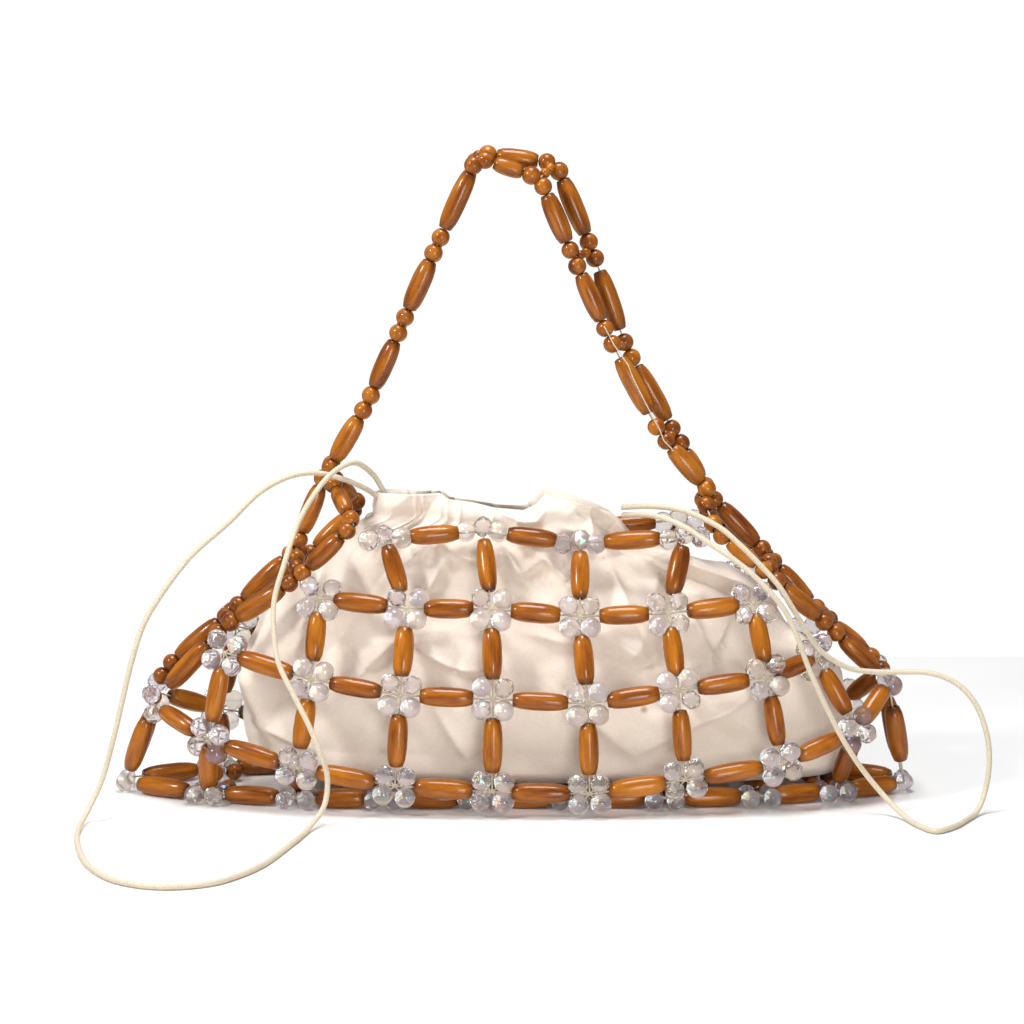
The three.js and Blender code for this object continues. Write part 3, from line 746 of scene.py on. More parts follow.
@dataclass(frozen=True)
class Cluster:
    """A cluster of crystals: its middle, its axes and how far it holds its neighbours off."""

    centre: Vector
    along: Vector
    up: Vector
    half: float
    rise: float
    layout: Layout

    def crystals(self, dice: random.Random) -> Iterator[Bead]:
        """Yield its crystals, each a little out of its place as on a real string."""
        for across, over in LAYOUTS[self.layout]:
            drift = [dice.uniform(-DRIFT, DRIFT) for _ in range(3)]
            out = self.along.cross(self.up)
            place = (self.centre + self.along * (across * CRYSTAL_HALF + drift[0])
                     + self.up * (over * CRYSTAL_HALF + drift[1]) + out * drift[2])
            ring = self.along * over - self.up * across
            axis = ring.normalized() if self.layout is Layout.FOUR else self.along
            lies_flat = out.z ** 2 > 0.8
            size = dice.uniform(*(FLAT_CRYSTALS if lies_flat else CRYSTALS))
            kind = BeadKind.DROP if dice.random() < SMOOTH[over < 0] else BeadKind.CRYSTAL
            yield Bead(kind, place, axis, size, size, dice.uniform(*ROLLS), dice.random())

    def threads(self, dice: random.Random) -> Iterator[Bead]:
        """Yield the thread that ties its crystals together, with a knot in the middle."""
        corners = [self.centre + (self.along * a + self.up * o) * CRYSTAL_HALF
                   for a, o in LAYOUTS[self.layout]]
        if self.layout is Layout.FOUR:
            for corner in corners:
                yield thread_between(self.centre, self.centre.lerp(corner, 0.45))
            yield Bead(BeadKind.KNOT, self.centre, self.up, 1.0, 1.3, dice.uniform(*ROLLS))


def thread_between(start: Vector, end: Vector, width: float = 1.0) -> Bead:
    """Thread drawn from one point to another."""
    way = end - start
    return Bead(BeadKind.THREAD, (start + end) / 2, way.normalized(), way.length, width)


def tube_between(start: Vector, end: Vector, clear_start: float, clear_end: float,
                 dice: random.Random) -> Iterator[Bead]:
    """Yield a long bead and its thread between two clusters.

    Args:
        start: middle of the first cluster.
        end: middle of the second.
        clear_start: how far from the first middle the bead may begin.
        clear_end: how far from the second middle it has to end.
        dice: source of its small differences.
    """
    way = (end - start).normalized()
    room = (end - start).length - clear_start - clear_end
    least, most = STRETCHES
    stretch = min(max(room / TUBE_LENGTH, least), most)
    middle = start + way * (clear_start + room / 2)
    yield Bead(BeadKind.TUBE, middle, way, stretch, dice.uniform(*WIDTHS), dice.uniform(*ROLLS),
               bead_tone(dice))
    yield thread_between(start, end)


def bead_tone(dice: random.Random, middle: float = NET_TONE) -> float:
    """Tone of one wooden bead, from darker to paler."""
    return clamped(dice.gauss(middle, TONE_SPREAD))


@dataclass
class Net:
    """One side of the bead net, row by row, with its half of the base."""

    side: Side
    stringer: Stringer
    dice: random.Random

    def row_clusters(self, row: NetRow) -> list[Cluster]:
        """Clusters of one row in their places."""
        sign = self.side.value
        places = [cells(x, sign * depth, z) for x, depth, z in row.places]
        lean = math.radians(row.lean)
        up = Vector((0.0, -sign * math.sin(lean), math.cos(lean)))
        found = []
        for i, centre in enumerate(places):
            along = (places[min(i + 1, len(places) - 1)] - places[max(i - 1, 0)]).normalized()
            is_end = i in (0, len(places) - 1) and row.half == CLUSTER_HALF
            layout = Layout.TRIO if row.half == TOP_CLUSTER_HALF else Layout.FOUR
            if is_end and row.name == "row_4":
                layout = Layout.PAIR
            half, rise = (EDGE_CLUSTER_HALF,) * 2 if is_end else (row.half, row.rise)
            square_up = (up - along * up.dot(along)).normalized()
            found.append(Cluster(centre, along, square_up, half, rise, layout))
        return found

    def base_clusters(self) -> list[Cluster]:
        """Clusters of this side's half of the base, flat on the surface."""
        sign = self.side.value
        end_depth = (CRYSTAL_HALF + GAP / 2) / CELL
        outline = ((-BASE_END, end_depth), *BASE_PLACES, (BASE_END, end_depth))
        places = [Vector((x * CELL, sign * d * CELL, CRYSTAL_HALF)) for x, d in outline]
        found = []
        for i, centre in enumerate(places):
            is_end = i in (0, len(places) - 1)
            along = Vector((1, 0, 0)) if is_end else (places[i + 1] - places[i - 1]).normalized()
            inward = Vector((-along.y, along.x, 0.0))
            half = CRYSTAL_HALF if is_end else CLUSTER_HALF
            layout = Layout.ONE if is_end else Layout.FOUR
            found.append(Cluster(centre, along, inward, half, half, layout))
        return found

    def strung(self, clusters: Sequence[Cluster]) -> list[Bead]:
        """Crystals, threads and long beads along one string."""
        beads: list[Bead] = []
        for cluster in clusters:
            beads += [*cluster.crystals(self.dice), *cluster.threads(self.dice)]
        for a, b in zip(clusters, clusters[1:]):
            beads += tube_between(a.centre, b.centre, a.half + THREAD_SHOWING,
                                  b.half + THREAD_SHOWING, self.dice)
        return beads

    def hung(self, upper: Cluster, lower: Cluster) -> list[Bead]:
        """The long bead that hangs from one cluster to another below it."""
        clear = upper.rise + (GAP if upper.layout is Layout.TRIO else THREAD_SHOWING)
        return list(tube_between(upper.centre, lower.centre, clear, lower.rise + THREAD_SHOWING,
                                 self.dice))

    def build(self) -> None:
        """Make every string of this side."""
        name = self.side.name.lower()
        rows = [self.row_clusters(row) for row in NET_ROWS]
        base = self.base_clusters()
        for r, row in enumerate(NET_ROWS):
            beads = self.strung(rows[r])
            for i, cluster in enumerate(rows[r]):
                if r < len(NET_ROWS) - 1:
                    beads += self.hung(cluster, rows[r + 1][i + 1])
                elif i in BASE_DROPS:
                    beads += self.hung(cluster, base[i])
            self.stringer.string(f"{name}_net_{row.name}", beads)
        beads = self.strung(base)
        for i in BASE_CROSSED:
            middle = Vector((base[i].centre.x, self.side.value * GAP, CRYSTAL_HALF))
            beads += tube_between(base[i].centre, middle, CLUSTER_HALF + THREAD_SHOWING, 1.0,
                                  self.dice)
        for i in BASE_ROUNDS:
            cluster = base[i]
            for across in (-LINK_SPREAD, LINK_SPREAD):
                place = (cluster.centre + cluster.along * (across * 2 * ROUND_RADIUS)
                         - cluster.up * (self.side.value * (CLUSTER_HALF + ROUND_RADIUS)))
                beads.append(Bead(BeadKind.ROUND, place, cluster.along, 0.95, 0.95,
                                  self.dice.uniform(*ROLLS), bead_tone(self.dice, BASE_ROUND_TONE)))
        self.stringer.string(f"{name}_base_string", beads)


def string_beads(points: Sequence[Vector], ends_in_tube: bool, dice: random.Random) -> list[Bead]:
    """Wooden beads of a string: a long bead between each two points, a round one at its ends.

    Args:
        points: the middle of each pair of rounds along the string, in millimetres.
        ends_in_tube: whether the last long bead has no round after it.
        dice: source of their small differences.

    Returns:
        The beads and the thread they are on.
    """
    beads = []
    last = len(points) - 2
    for i, (start, end) in enumerate(zip(points, points[1:])):
        way = (end - start).normalized()
        length = (end - start).length
        bare = ends_in_tube and i == last
        first = 0.0 if i == 0 else PAIR_OFFSET
        final = length if i == last else length - PAIR_OFFSET
        tube_start = first + ROUND_RADIUS
        tube_end = final if bare else final - ROUND_RADIUS
        for reach in (first,) if bare else (first, final):
            size = dice.uniform(*WIDTHS)
            beads.append(Bead(BeadKind.ROUND, start + way * reach, way, size, size,
                              dice.uniform(*ROLLS), bead_tone(dice, STRING_ROUND_TONE)))
        room = tube_end - tube_start
        if room > SHORTEST_TUBE:
            share = min(room * 0.985 / TUBE_LENGTH, LONGEST_STRETCH)
            width = dice.uniform(*STRING_WIDTHS) if share > 0.7 else SHORT_TUBE_WIDTH
            beads.append(Bead(BeadKind.TUBE, start + way * (tube_start + room / 2), way, share,
                              width, dice.uniform(*ROLLS), bead_tone(dice, STRING_TUBE_TONE)))
        beads.append(thread_between(start, end))
    return beads


def linking_rounds(start: Vector, end: Vector, dice: random.Random) -> Iterator[Bead]:
    """Yield the round beads and the thread that link two joints of neighbouring strings."""
    way = end - start
    count = int((way.length - 2 * ROUND_RADIUS) / (2 * ROUND_RADIUS))
    for k in range(count):
        place = start + way * ((k + 1) / (count + 1))
        yield Bead(BeadKind.ROUND, place, way.normalized(), 0.97, 0.97, dice.uniform(*ROLLS),
                   bead_tone(dice, LINK_TONE))
    yield thread_between(start, end)


@dataclass
class Strap:
    """The double strap and the strings that carry it down the bag's two ends."""

    stringer: Stringer
    dice: random.Random

    def build(self) -> None:
        """Make the strap's strands with the small beads that tie them, then the side strings."""
        routes = {side: [Vector((x * CELL, side.value * STRAND_OFFSET, z * CELL))
                         for x, z in route] for side, route in STRAP_ROUTES.items()}
        for side, points in routes.items():
            beads = string_beads(points, False, self.dice)
            if side is Side.FRONT:
                for a, b in list(zip(points, routes[Side.BACK]))[1:-1]:
                    beads += self.ties(a, b)
                loose = [Vector(place) for place in LOOSE_THREAD]
                beads += [thread_between(a, b, 0.7) for a, b in zip(loose, loose[1:])]
            self.stringer.string(f"strap_{side.name.lower()}_strand", beads)
        for routes_of_side in SIDE_ROUTES:
            self.ridge(routes_of_side)
            for side in Side:
                self.edge(routes_of_side, side)

    def ties(self, a: Vector, b: Vector) -> Iterator[Bead]:
        """Yield the small beads between the two strands at one pair of rounds."""
        way = (b - a).normalized()
        count = 1 if (b - a).length < 4.5 * SMALL_RADIUS else 2
        for k in range(count):
            place = a.lerp(b, (k + 1) / (count + 1))
            yield Bead(BeadKind.SMALL, place, way, 1.0, 1.0, 0.0, bead_tone(self.dice))
        yield thread_between(a, b)

    def ridge(self, routes: SideRoutes) -> None:
        """Make the string down the middle of one end of the bag."""
        x, z = STRAP_ROUTES[Side.FRONT][routes.strap_end]
        start = cells(x, 0, z)
        aim = cells(routes.ridge_toward[0], 0, routes.ridge_toward[1])
        drop = math.sqrt(TOUCH ** 2 - STRAND_OFFSET ** 2)
        points = [start + (aim - start).normalized() * drop]
        points += [cells(along, 0, height) for along, height in routes.ridge]
        beads = string_beads(points, False, self.dice)
        for side in Side:
            for joint, (along, depth, height) in zip(points[1:], routes.edge[1:]):
                far = cells(along, side.value * depth, height)
                beads += linking_rounds(joint, far, self.dice)
        self.stringer.string(f"{routes.name}_ridge_string", beads)

    def edge(self, routes: SideRoutes, side: Side) -> None:
        """Make the string along one upper side edge of the net, to its corner cluster."""
        sign = side.value
        x, z = STRAP_ROUTES[Side.FRONT][routes.strap_end]
        start = Vector((x * CELL, sign * STRAND_OFFSET, z * CELL))
        toward = routes.edge_toward
        aim = cells(toward[0], sign * toward[1], toward[2])
        points = [start + (aim - start).normalized() * TOUCH]
        points += [cells(along, sign * depth, height) for along, depth, height in routes.edge]
        corner_x, corner_depth, corner_z = NET_ROWS[-1].places[-1 if routes.row_end else 0]
        corner = cells(corner_x, sign * corner_depth, corner_z)
        arrival = (corner - points[-1]).normalized()
        points.append(corner - arrival * (EDGE_CLUSTER_HALF + GAP + routes.corner_slack))
        self.stringer.string(f"{routes.name}_{side.name.lower()}_edge_string",
                             string_beads(points, True, self.dice))


@dataclass(frozen=True)
class PouchSection:
    """Section of the pouch: height, left and right reach and half depth in cells, its roundness
    (2 is an ellipse) and its share of the mouth's pleats."""

    height: float
    left: float
    right: float
    depth: float
    roundness: float
    pleat: float

    def slope(self, low: "PouchSection", high: "PouchSection") -> list[float]:
        """How fast each size changes with height at this section, between its neighbours."""
        rise = high.height - low.height
        return [(b - a) / rise for a, b in zip(low.values(), high.values())]

    def toward(self, other: "PouchSection", t: float, leaving: Sequence[float],
               arriving: Sequence[float]) -> "PouchSection":
        """Section between this one and another on a smooth curve.

        Args:
            other: the next section.
            t: share of the way, from 0 to 1.
            leaving: change of each size at this section.
            arriving: change of each size at the other.

        Returns:
            The section in between.
        """
        h = (2 * t ** 3 - 3 * t ** 2 + 1, t ** 3 - 2 * t ** 2 + t, 3 * t ** 2 - 2 * t ** 3,
             t ** 3 - t ** 2)
        parts = zip(self.values(), leaving, other.values(), arriving)
        return PouchSection(*(sum(w * p for w, p in zip(h, part)) for part in parts))

    def values(self) -> Point:
        """Its sizes in order."""
        return self.height, self.left, self.right, self.depth, self.roundness, self.pleat


@dataclass(frozen=True)
class Crease:
    """A fold line on the pouch, from one place to another: along the bag and height in mm, its
    half width and depth in mm. One side of it falls sharply and the other softly."""

    start: Point
    end: Point
    width: float
    depth: float

    def push(self, x: float, z: float) -> float:
        """How far the cloth stands out at a place because of this fold, in millimetres."""
        ax, az = self.start
        dx, dz = self.end[0] - ax, self.end[1] - az
        length = math.hypot(dx, dz)
        along = ((x - ax) * dx + (z - az) * dz) / length ** 2
        away = ((x - ax) * dz - (z - az) * dx) / length
        over = max(0.0, -along, along - 1.0) * length
        taper = math.exp(-(over / (FOLD_TAPER * self.width)) ** 2)
        middle = math.sin(math.pi * along) ** 0.5 if 0 < along < 1 else FOLD_END
        side = (FOLD_SOFT_SIDE if away > 0 else FOLD_SHARP_SIDE) * self.width
        rise = FOLD_RISE * self.depth * (FOLD_LEAST + (1.0 - FOLD_LEAST) * middle)
        return rise * taper * math.exp(-abs(away) / side)


# Sections of the pouch from its floor up to its rim
POUCH_SECTIONS = tuple(PouchSection(*values) for values in (
    (0.00, -2.55, 3.45, 0.62, 2.3, 0.0),
    (0.14, -2.88, 3.68, 0.84, 2.3, 0.0),
    (0.58, -3.00, 3.82, 0.98, 2.4, 0.0),
    (1.13, -2.93, 3.55, 0.95, 2.3, 0.0),
    (1.58, -2.80, 3.00, 0.80, 2.2, 0.0),
    (2.03, -2.50, 2.56, 0.60, 2.0, 0.0),
    (2.40, -2.12, 2.12, 0.42, 2.0, 0.15),
    (2.64, -1.86, 1.66, 0.31, 2.0, 0.5),
    (2.80, -1.44, 1.26, 0.23, 2.0, 1.0),
    (2.95, -1.40, 1.24, 0.26, 2.0, 0.9),
    (3.07, -1.38, 1.16, 0.24, 2.0, 0.6),
))

# Height of the rim over the bag, in mm: place along, then height
POUCH_RIM = ((-62, 134.3), (-33, 134.0), (-29, 131.2), (-18, 129.6), (-8, 127.4), (4, 126.4),
             (9, 129.2), (13, 134.0), (20, 132.6), (34, 128.5), (41, 126.0), (49, 119.7), (54, 116))

# Folds of the pouch: how much they rise over their depth, what is left of that toward their ends
# and past them, and the reach of their ends and of both sides in widths
FOLD_RISE = 1.8
FOLD_LEAST = 0.35
FOLD_END = 0.25
FOLD_TAPER = 0.8
FOLD_SOFT_SIDE = 0.9
FOLD_SHARP_SIDE = 0.2

# Where along the bag the back's folds mirror the front's, doubled, in mm
MIRROR_AT = 20

# Fold lines: start and end along the bag and height, half width and depth, in mm
POUCH_CREASES = tuple(Crease(*values) for values in (
    ((-31, 115), (-29, 107), 6, 3.8),
    ((-12, 106), (-29, 111), 10, 3.8),
    ((-32, 104), (-38, 93), 10, 3.8),
    ((-37, 114), (-44, 108), 7, 3.8),
    ((23, 97), (6, 116), 11, 5.2),
    ((-4, 114), (3, 102), 8, 4.1),
    ((9, 106), (3, 102), 6, 3.2),
    ((39, 116), (0, 130), 10, 4.6),
    ((33, 129), (34, 118), 7, 3.2),
    ((-25, 62), (-44, 71), 12, 4.3),
    ((-13, 61), (-25, 62), 9, 2.9),
    ((-52, 73), (-66, 60), 12, 3.8),
    ((77, 85), (85, 66), 9, 4.1),
    ((92, 76), (85, 66), 8, 3.5),
    ((105, 51), (63, 29), 14, 4.6),
    ((-120, 60), (-111, 32), 10, 4.1),
    ((-93, 25), (-111, 32), 9, 3.2),
    ((41, 109), (54, 74), 12, 3.5),
    ((-80, 109), (-93, 74), 12, 3.8),
    ((-71, 116), (-62, 83), 10, 3.5),
    ((46, 28), (19, 52), 14, 3.8),
    ((-20, 21), (-33, 41), 12, 3.5),
    ((141, 48), (123, 74), 12, 3.8),
    ((80, 92), (60, 109), 10, 3.8),
    ((37, 68), (13, 74), 10, 3.2),
))

# Crossing folds of the creased cloth: direction in degrees, spacing and depth in mm, and the
# share of the spacing at which the crest lies
POUCH_FACETS = (
    (58, 60, 10.0, 0.16),
    (-42, 50, 9.0, 0.84),
    (12, 75, 5.5, 0.25),
    (100, 41, 4.0, 0.76),
    (-68, 29, 3.4, 0.22),
    (34, 22, 2.2, 0.76),
)


@dataclass
class Pouch:
    """The cotton pouch: a lofted shell that sags on the base and gathers at its mouth."""

    around: int = 440
    up: int = 148
    lining_up: int = 26
    floor_rings: int = 8
    pleats: int = 26
    pleat_depth: float = 7.0
    wall: float = 1.3
    sink: float = 4.5
    free_rise: float = 3.0
    squeezed_rise: float = 2.5
    calm_height: float = 0.35
    neck_height: float = 2.0
    flap_start: float = 4.0
    flap_width: float = 10.0
    flap_calm: float = 0.75
    flat_size: tuple[float, float] = (0.58, 0.15)

    def section(self, height: float) -> PouchSection:
        """Section at a height in cells."""
        last = len(POUCH_SECTIONS) - 1
        for i in range(last):
            low, high = POUCH_SECTIONS[i], POUCH_SECTIONS[i + 1]
            if height <= high.height or i == last - 1:
                gap = high.height - low.height
                t = clamped((height - low.height) / gap)
                before = low.slope(POUCH_SECTIONS[max(i - 1, 0)], high)
                after = high.slope(low, POUCH_SECTIONS[min(i + 2, last)])
                return low.toward(high, t, [b * gap for b in before], [a * gap for a in after])
        return POUCH_SECTIONS[-1]

    @staticmethod
    def rim_drop(x: float) -> float:
        """How far the rim lies below the top of the pouch at a place along the bag, in mm."""
        top = POUCH_BASE + POUCH_SECTIONS[-1].height * CELL
        for (x0, z0), (x1, z1) in zip(POUCH_RIM, POUCH_RIM[1:]):
            if x <= x1:
                return top - (z0 + (z1 - z0) * clamped((x - x0) / (x1 - x0)))
        return top - POUCH_RIM[-1][1]

    def crumple(self, place: Vector, height: float) -> float:
        """Standing-out of the creased cloth at a point, in millimetres: flat facets between
        crisp folds, each fold fading in and out, finer and sharper toward the mouth."""
        upper = clamped((height - 1.2) / 1.3)
        q = place + noise.noise_vector(place / 55.0) * 8.0
        total = 1.1 * noise.noise(q / 40.0)
        for number, (turn, length, rise, share) in enumerate(POUCH_FACETS):
            angle = math.radians(turn)
            way = q.x * math.cos(angle) + q.z * math.sin(angle) + 0.5 * q.y
            away = q / (1.5 * length) + Vector((7.3 * number, 1.7, 3.1))
            mask = clamped(0.35 + 3.2 * noise.noise(away))
            step = (way / length + 0.37 * number) % 1.0
            fold = (share - step) / share if step < share else (step - share) / (1.0 - share)
            fine = upper if length < 30 else 0.6 + 0.4 * upper
            total += rise * mask * fine * (0.5 - fold)
        return total

    def pleated(self, x: float, angle: float, height: float) -> float:
        """Standing-out of the full pleats of the mouth at a place, in millimetres."""
        c, d = math.cos(angle), math.sin(angle)
        gather = noise.noise(Vector((4.0 * c, 4.0 * d, 7.0))) * 1.6
        pleat = math.cos(self.pleats * angle / 2 + gather * 2.6 + 0.7 * height)
        held = 0.35 + 0.65 * max(noise.noise(Vector((x / 16.0, d, 3.0))), 0.0) / 0.5
        held *= 1.0 - self.flap_calm * clamped((x - self.flap_start) / self.flap_width)
        return held * abs(d) ** 0.7 * self.pleat_depth * (0.5 - abs(pleat) ** 0.5)

    def point(self, angle: float, height: float, inset: float = 0.0) -> Vector:
        """Point of the cloth in millimetres.

        Args:
            angle: place on the girth in radians, from +X.
            height: height in cells above the pouch's floor.
            inset: how far in from the outside it lies.

        Returns:
            The point, with its folds, its pleats and its fall toward the rim.
        """
        s = self.section(height)
        a, b = (s.right - s.left) / 2 * CELL, s.depth * CELL
        power = 2 / s.roundness
        c, d = math.cos(angle), math.sin(angle)
        x = (s.left + s.right) / 2 * CELL + a * math.copysign(abs(c) ** power, c)
        y = b * math.copysign(abs(d) ** power, d)
        z = POUCH_BASE + height * CELL
        outward = Vector((c / a, d / b, 0.0)).normalized()
        place = Vector((x, y, z))
        calm = min(height / self.calm_height, 1.0)
        push = s.pleat * self.pleated(x, angle, height)
        push += self.crumple(place, height) * calm * (1.0 - 0.35 * min(s.pleat, 1.0))
        along = x if d < 0 else MIRROR_AT - x
        push += calm * sum(crease.push(along, z) for crease in POUCH_CREASES)
        push -= self.sink * calm * (1.0 - min(s.pleat, 1.0))
        over = push - self.free_rise
        if over > 0:
            push = self.free_rise + self.squeezed_rise * math.tanh(over / self.squeezed_rise)
        place += outward * push
        neck = POUCH_SECTIONS[-1].height - self.neck_height
        place.z -= self.rim_drop(x) * clamped((height - self.neck_height) / neck) ** 1.5
        if inset:
            place -= outward * inset
            place.z += inset * max(1.0 - 4.0 * height, 0.0)
        return place

    def angles(self) -> list[float]:
        """Places on the girth, evenly spaced along it at the widest section."""
        widest = max(POUCH_SECTIONS, key=lambda section: section.right - section.left)
        a, b = (widest.right - widest.left) / 2, widest.depth
        steps = 4000
        reach = [0.0]
        for k in range(steps):
            turn = 2 * math.pi * (k + 0.5) / steps
            reach.append(reach[-1] + math.hypot(a * math.sin(turn), b * math.cos(turn)))
        found = []
        k = 0
        for i in range(self.around):
            while reach[k + 1] < reach[-1] * i / self.around:
                k += 1
            found.append(2 * math.pi * (k + 0.5) / steps)
        return found

    def build(self, material: bpy.types.Material) -> bpy.types.Object:
        """Make the cloth as one closed skin: its outside, then its inside down to its floor.

        Args:
            material: the cotton.

        Returns:
            The finished pouch.
        """
        top = POUCH_SECTIONS[-1].height
        outside = [top * (k / self.up) ** 0.94 for k in range(self.up + 1)]
        inside = [top * (1 - k / self.lining_up) for k in range(self.lining_up + 1)]
        angles = self.angles()
        points = [self.point(angle, level) for level in outside for angle in angles]
        points += [self.point(angle, level, self.wall) for level in inside for angle in angles]
        n = self.around
        faces = [(k * n + i, k * n + (i + 1) % n, (k + 1) * n + (i + 1) % n, (k + 1) * n + i)
                 for k in range(len(outside) + len(inside) - 1) for i in range(n)]
        last = (len(outside) + len(inside) - 1) * n
        self.close_floor(points, faces, 0, True)
        self.close_floor(points, faces, last, False)
        mesh = bpy.data.meshes.new("pouch_cloth")
        mesh.from_pydata([p * MM for p in points], [], faces)
        self.lay_map(mesh, outside)
        obj = bpy.data.objects.new("pouch_cloth", mesh)
        bpy.context.scene.collection.objects.link(obj)
        Workbench.activate(obj)
        bpy.ops.object.shade_smooth()
        obj.data.materials.append(material)
        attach(obj, BODY)
        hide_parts("pouch")
        return obj

    def close_floor(self, points: list[Vector], faces: list[Point], first: int,
                    outer: bool) -> None:
        """Add the rings that close one skin of the pouch's floor.

        Args:
            points: all points, to which the rings are added.
            faces: all faces, to which theirs are added.
            first: index of the first point of the ring that they close.
            outer: whether it is the outside, which faces down.
        """
        n = self.around
        rim = points[first:first + n]
        middle = sum(rim, Vector()) / n
        previous = first
        for k in range(1, self.floor_rings):
            start = len(points)
            points += [middle + (p - middle) * (1 - k / self.floor_rings) for p in rim]
            for i in range(n):
                face = (start + i, start + (i + 1) % n, previous + (i + 1) % n, previous + i)
                faces.append(face if outer else face[::-1])
            previous = start
        points.append(middle)
        for i in range(n):
            face = (previous + (i + 1) % n, previous + i, len(points) - 1)
            faces.append(face if outer else face[::-1])

    def lay_map(self, mesh: bpy.types.Mesh, levels: Sequence[float]) -> None:
        """Give the cloth a map in metres: along its girth, and up its height."""
        layer = mesh.uv_layers.new(name="cloth")
        n = self.around
        side = self.up * n
        for polygon in mesh.polygons:
            for corner, loop in enumerate(polygon.loop_indices):
                vertex = mesh.vertices[mesh.loops[loop].vertex_index]
                if polygon.index < side:
                    k, i = divmod(polygon.index, n)
                    i += 1 if corner in (1, 2) else 0
                    k += 1 if corner in (2, 3) else 0
                    layer.data[loop].uv = (0.64 * i / n, levels[k] * CELL * 1.12 * MM)
                else:
                    layer.data[loop].uv = (vertex.co.x, vertex.co.y)


@dataclass(frozen=True)
class Drawstring:
    """One loop of cotton cord, which comes out of the pouch's mouth and goes back into it."""

    name: str
    route: Sequence[Point]
    samples: int = 6

    def centreline(self) -> list[Vector]:
        """Smooth line through the chosen points, in metres."""
        points = [Vector(p) * MM for p in self.route]
        ends = [points[0] * 2 - points[1], *points, points[-1] * 2 - points[-2]]
        line = []
        for p0, p1, p2, p3 in zip(ends, ends[1:], ends[2:], ends[3:]):
            for k in range(self.samples):
                line.append(self.between(p0, p1, p2, p3, k / self.samples))
        return [*line, points[-1]]

    @staticmethod
    def between(p0: Vector, p1: Vector, p2: Vector, p3: Vector, share: float) -> Vector:
        """Point of a centripetal curve between its second and third point."""
        t0 = 0.0
        t1 = math.sqrt((p1 - p0).length)
        t2 = t1 + math.sqrt((p2 - p1).length)
        t3 = t2 + math.sqrt((p3 - p2).length)
        t = t1 + (t2 - t1) * share
        a1 = p0 * ((t1 - t) / (t1 - t0)) + p1 * ((t - t0) / (t1 - t0))
        a2 = p1 * ((t2 - t) / (t2 - t1)) + p2 * ((t - t1) / (t2 - t1))
        a3 = p2 * ((t3 - t) / (t3 - t2)) + p3 * ((t - t2) / (t3 - t2))
        b1 = a1 * ((t2 - t) / (t2 - t0)) + a2 * ((t - t0) / (t2 - t0))
        b2 = a2 * ((t3 - t) / (t3 - t1)) + a3 * ((t - t1) / (t3 - t1))
        return b1 * ((t2 - t) / (t2 - t1)) + b2 * ((t - t1) / (t2 - t1))

    def build(self, material: bpy.types.Material) -> bpy.types.Object:
        """Make the cord as a round curve that stands for its node."""
        line = self.centreline()
        curve = bpy.data.curves.new(f"{self.name}_cord", "CURVE")
        curve.dimensions = "3D"
        spline = curve.splines.new("POLY")
        spline.points.add(len(line) - 1)
        for point, place in zip(spline.points, line):
            point.co = (*place, 1.0)
        curve.bevel_depth = CORD_DIAMETER / 2 * MM
        curve.bevel_resolution = 3
        curve.use_fill_caps = True
        obj = bpy.data.objects.new(f"{self.name}_cord", curve)
        bpy.context.scene.collection.objects.link(obj)
        curve.materials.append(material)
        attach(obj, BODY)
        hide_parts(self.name)
        length = sum((b - a).length for a, b in zip(line, line[1:]))
        tuple(line[0])
        return obj


# Lamps: name, place in metres, side in metres and power in watts; the point they look at
LAMPS = (
    ("key", (-0.85, -0.58, 0.88), 0.22, 9.0),
    ("second", (0.30, -1.25, 0.20), 0.38, 5.2),
    ("top", (0.0, -0.10, 1.5), 0.6, 20.0),
)
LAMP_TARGET = (0.0, 0.0, 0.1)


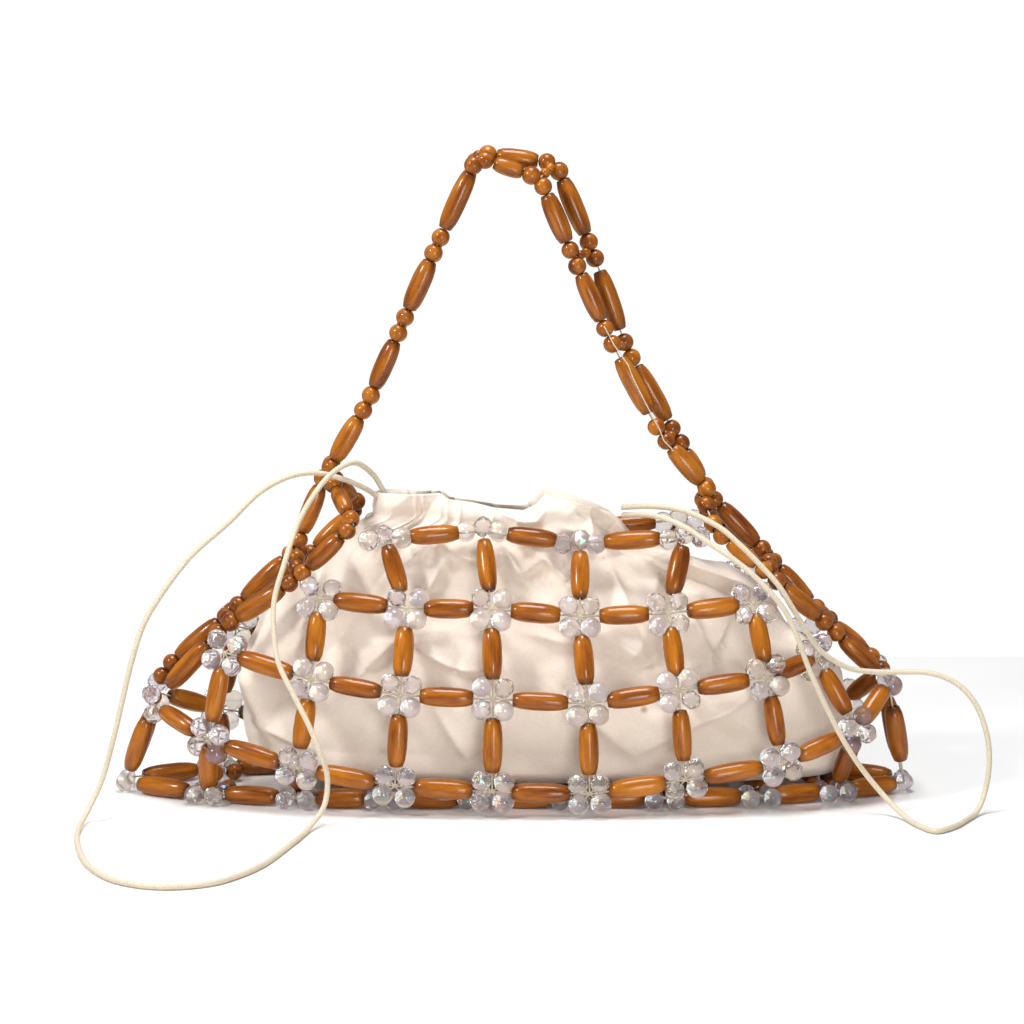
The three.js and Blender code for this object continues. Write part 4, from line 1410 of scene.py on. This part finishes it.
@dataclass(frozen=True)
class Studio:
    """White table, soft light and the camera of the photograph."""

    aim: Point = (-0.0013, 0.0, 0.125)
    distance: float = 1.4
    elevation: float = 8.7
    lens: float = 111.86
    sensor: float = 36.0
    ambient: float = 0.30
    seen_white: float = 1.02
    table_size: tuple[float, float] = (2.4, 1.5)
    table_middle: float = -0.45
    table_colour: str = "#fdfdfd"
    table_bounce: str = "#f1eeea"

    def camera(self) -> None:
        """Set the camera at the photograph's angle."""
        data = bpy.data.cameras.new("camera")
        data.lens = self.lens
        data.sensor_width = self.sensor
        tilt = math.radians(self.elevation)
        away = Vector((0.0, -math.cos(tilt), math.sin(tilt))) * self.distance
        obj = bpy.data.objects.new("camera", data)
        obj.location = Vector(self.aim) + away
        obj.rotation_euler = away.to_track_quat("Z", "Y").to_euler()
        bpy.context.scene.collection.objects.link(obj)
        bpy.context.scene.camera = obj

    def table(self) -> None:
        """Lay the pale, slightly glossy table that the bag stands on."""
        bpy.ops.mesh.primitive_plane_add(size=1.0)
        obj = bpy.context.object
        obj.name = "table"
        Workbench.pick(obj, "VERT", lambda *_: True)
        Workbench.scale(*self.table_size, 1.0)
        bpy.ops.transform.translate(value=(0.0, self.table_middle, 0.0))
        Workbench.leave()
        g = NodeGraph("white_table")
        seen = g.add("LightPath").outputs["Is Camera Ray"]
        white = g.mix(seen, toned(self.table_bounce), self.table_colour)
        shader = g.add("BsdfPrincipled", Base_Color=white, Roughness=0.11, IOR=1.3)
        obj.data.materials.append(g.finish(shader.outputs[0]))
        obj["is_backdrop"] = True

    @staticmethod
    def lamp(name: str, place: Point, size: float, power: float) -> None:
        """Add one soft square lamp that looks at the bag."""
        data = bpy.data.lights.new(name, "AREA")
        data.size = size
        data.energy = power
        obj = bpy.data.objects.new(name, data)
        obj.location = place
        obj.rotation_euler = (Vector(place) - Vector(LAMP_TARGET)).to_track_quat("Z", "Y").to_euler()
        bpy.context.scene.collection.objects.link(obj)

    def lights(self) -> None:
        """White surroundings, a key lamp at the upper left, a low one in front and one above."""
        world = bpy.data.worlds.new("white_studio")
        bpy.context.scene.world = world
        world.use_nodes = True
        tree = world.node_tree
        background = tree.nodes["Background"]
        background.inputs["Color"].default_value = (1.0, 1.0, 1.0, 1.0)
        seen = tree.nodes.new("ShaderNodeLightPath")
        level = tree.nodes.new("ShaderNodeMapRange")
        level.inputs["To Min"].default_value = self.ambient
        level.inputs["To Max"].default_value = self.seen_white
        through = tree.nodes.new("ShaderNodeMath")
        through.operation = "MAXIMUM"
        tree.links.new(seen.outputs["Is Camera Ray"], through.inputs[0])
        tree.links.new(seen.outputs["Is Transmission Ray"], through.inputs[1])
        tree.links.new(through.outputs[0], level.inputs["Value"])
        tree.links.new(level.outputs[0], background.inputs["Strength"])
        for name, place, size, power in LAMPS:
            self.lamp(name, place, size, power)

    def build(self) -> None:
        """Set up everything round the bag."""
        self.table()
        self.lights()
        bpy.context.scene.view_settings.view_transform = "Standard"


@dataclass
class ShoulderBag:
    """The whole bag."""

    seed: int = 11

    def build(self) -> None:
        """Make the cords first, then the bead strings and the pouch."""
        dice = random.Random(self.seed)
        noise.seed_set(self.seed)
        materials = {
            Slot.WOOD: WoodFinish().build(),
            Slot.CRYSTAL: CrystalFinish().build(),
            Slot.COTTON: ClothFinish().build(),
            Slot.CORD: CordFinish().build(),
        }
        for name, route in DRAWSTRINGS.items():
            Drawstring(name, route).build(materials[Slot.CORD])
        patterns = BeadPatterns()
        patterns.make_all()
        stringer = Stringer(patterns, materials, dice)
        for side in Side:
            Net(side, stringer, dice).build()
        Strap(stringer, dice).build()
        Pouch().build(materials[Slot.COTTON])


def corners(bounds: Sequence[Sequence[float]]) -> list[list[float]]:
    """Bounds as plain lists of numbers."""
    return [[float(c) for c in corner] for corner in bounds]


def main() -> None:
    """Build the scene."""
    logging.basicConfig(level=logging.INFO, format="%(name)s: %(message)s")
    packed = corners(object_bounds())
    studio = Studio()
    studio.camera()
    ShoulderBag().build()
    studio.build()
    shown = corners(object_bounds())
    LOG.info("packed box %s, shown box %s", packed, shown)


if __name__ == "__main__":
    main()
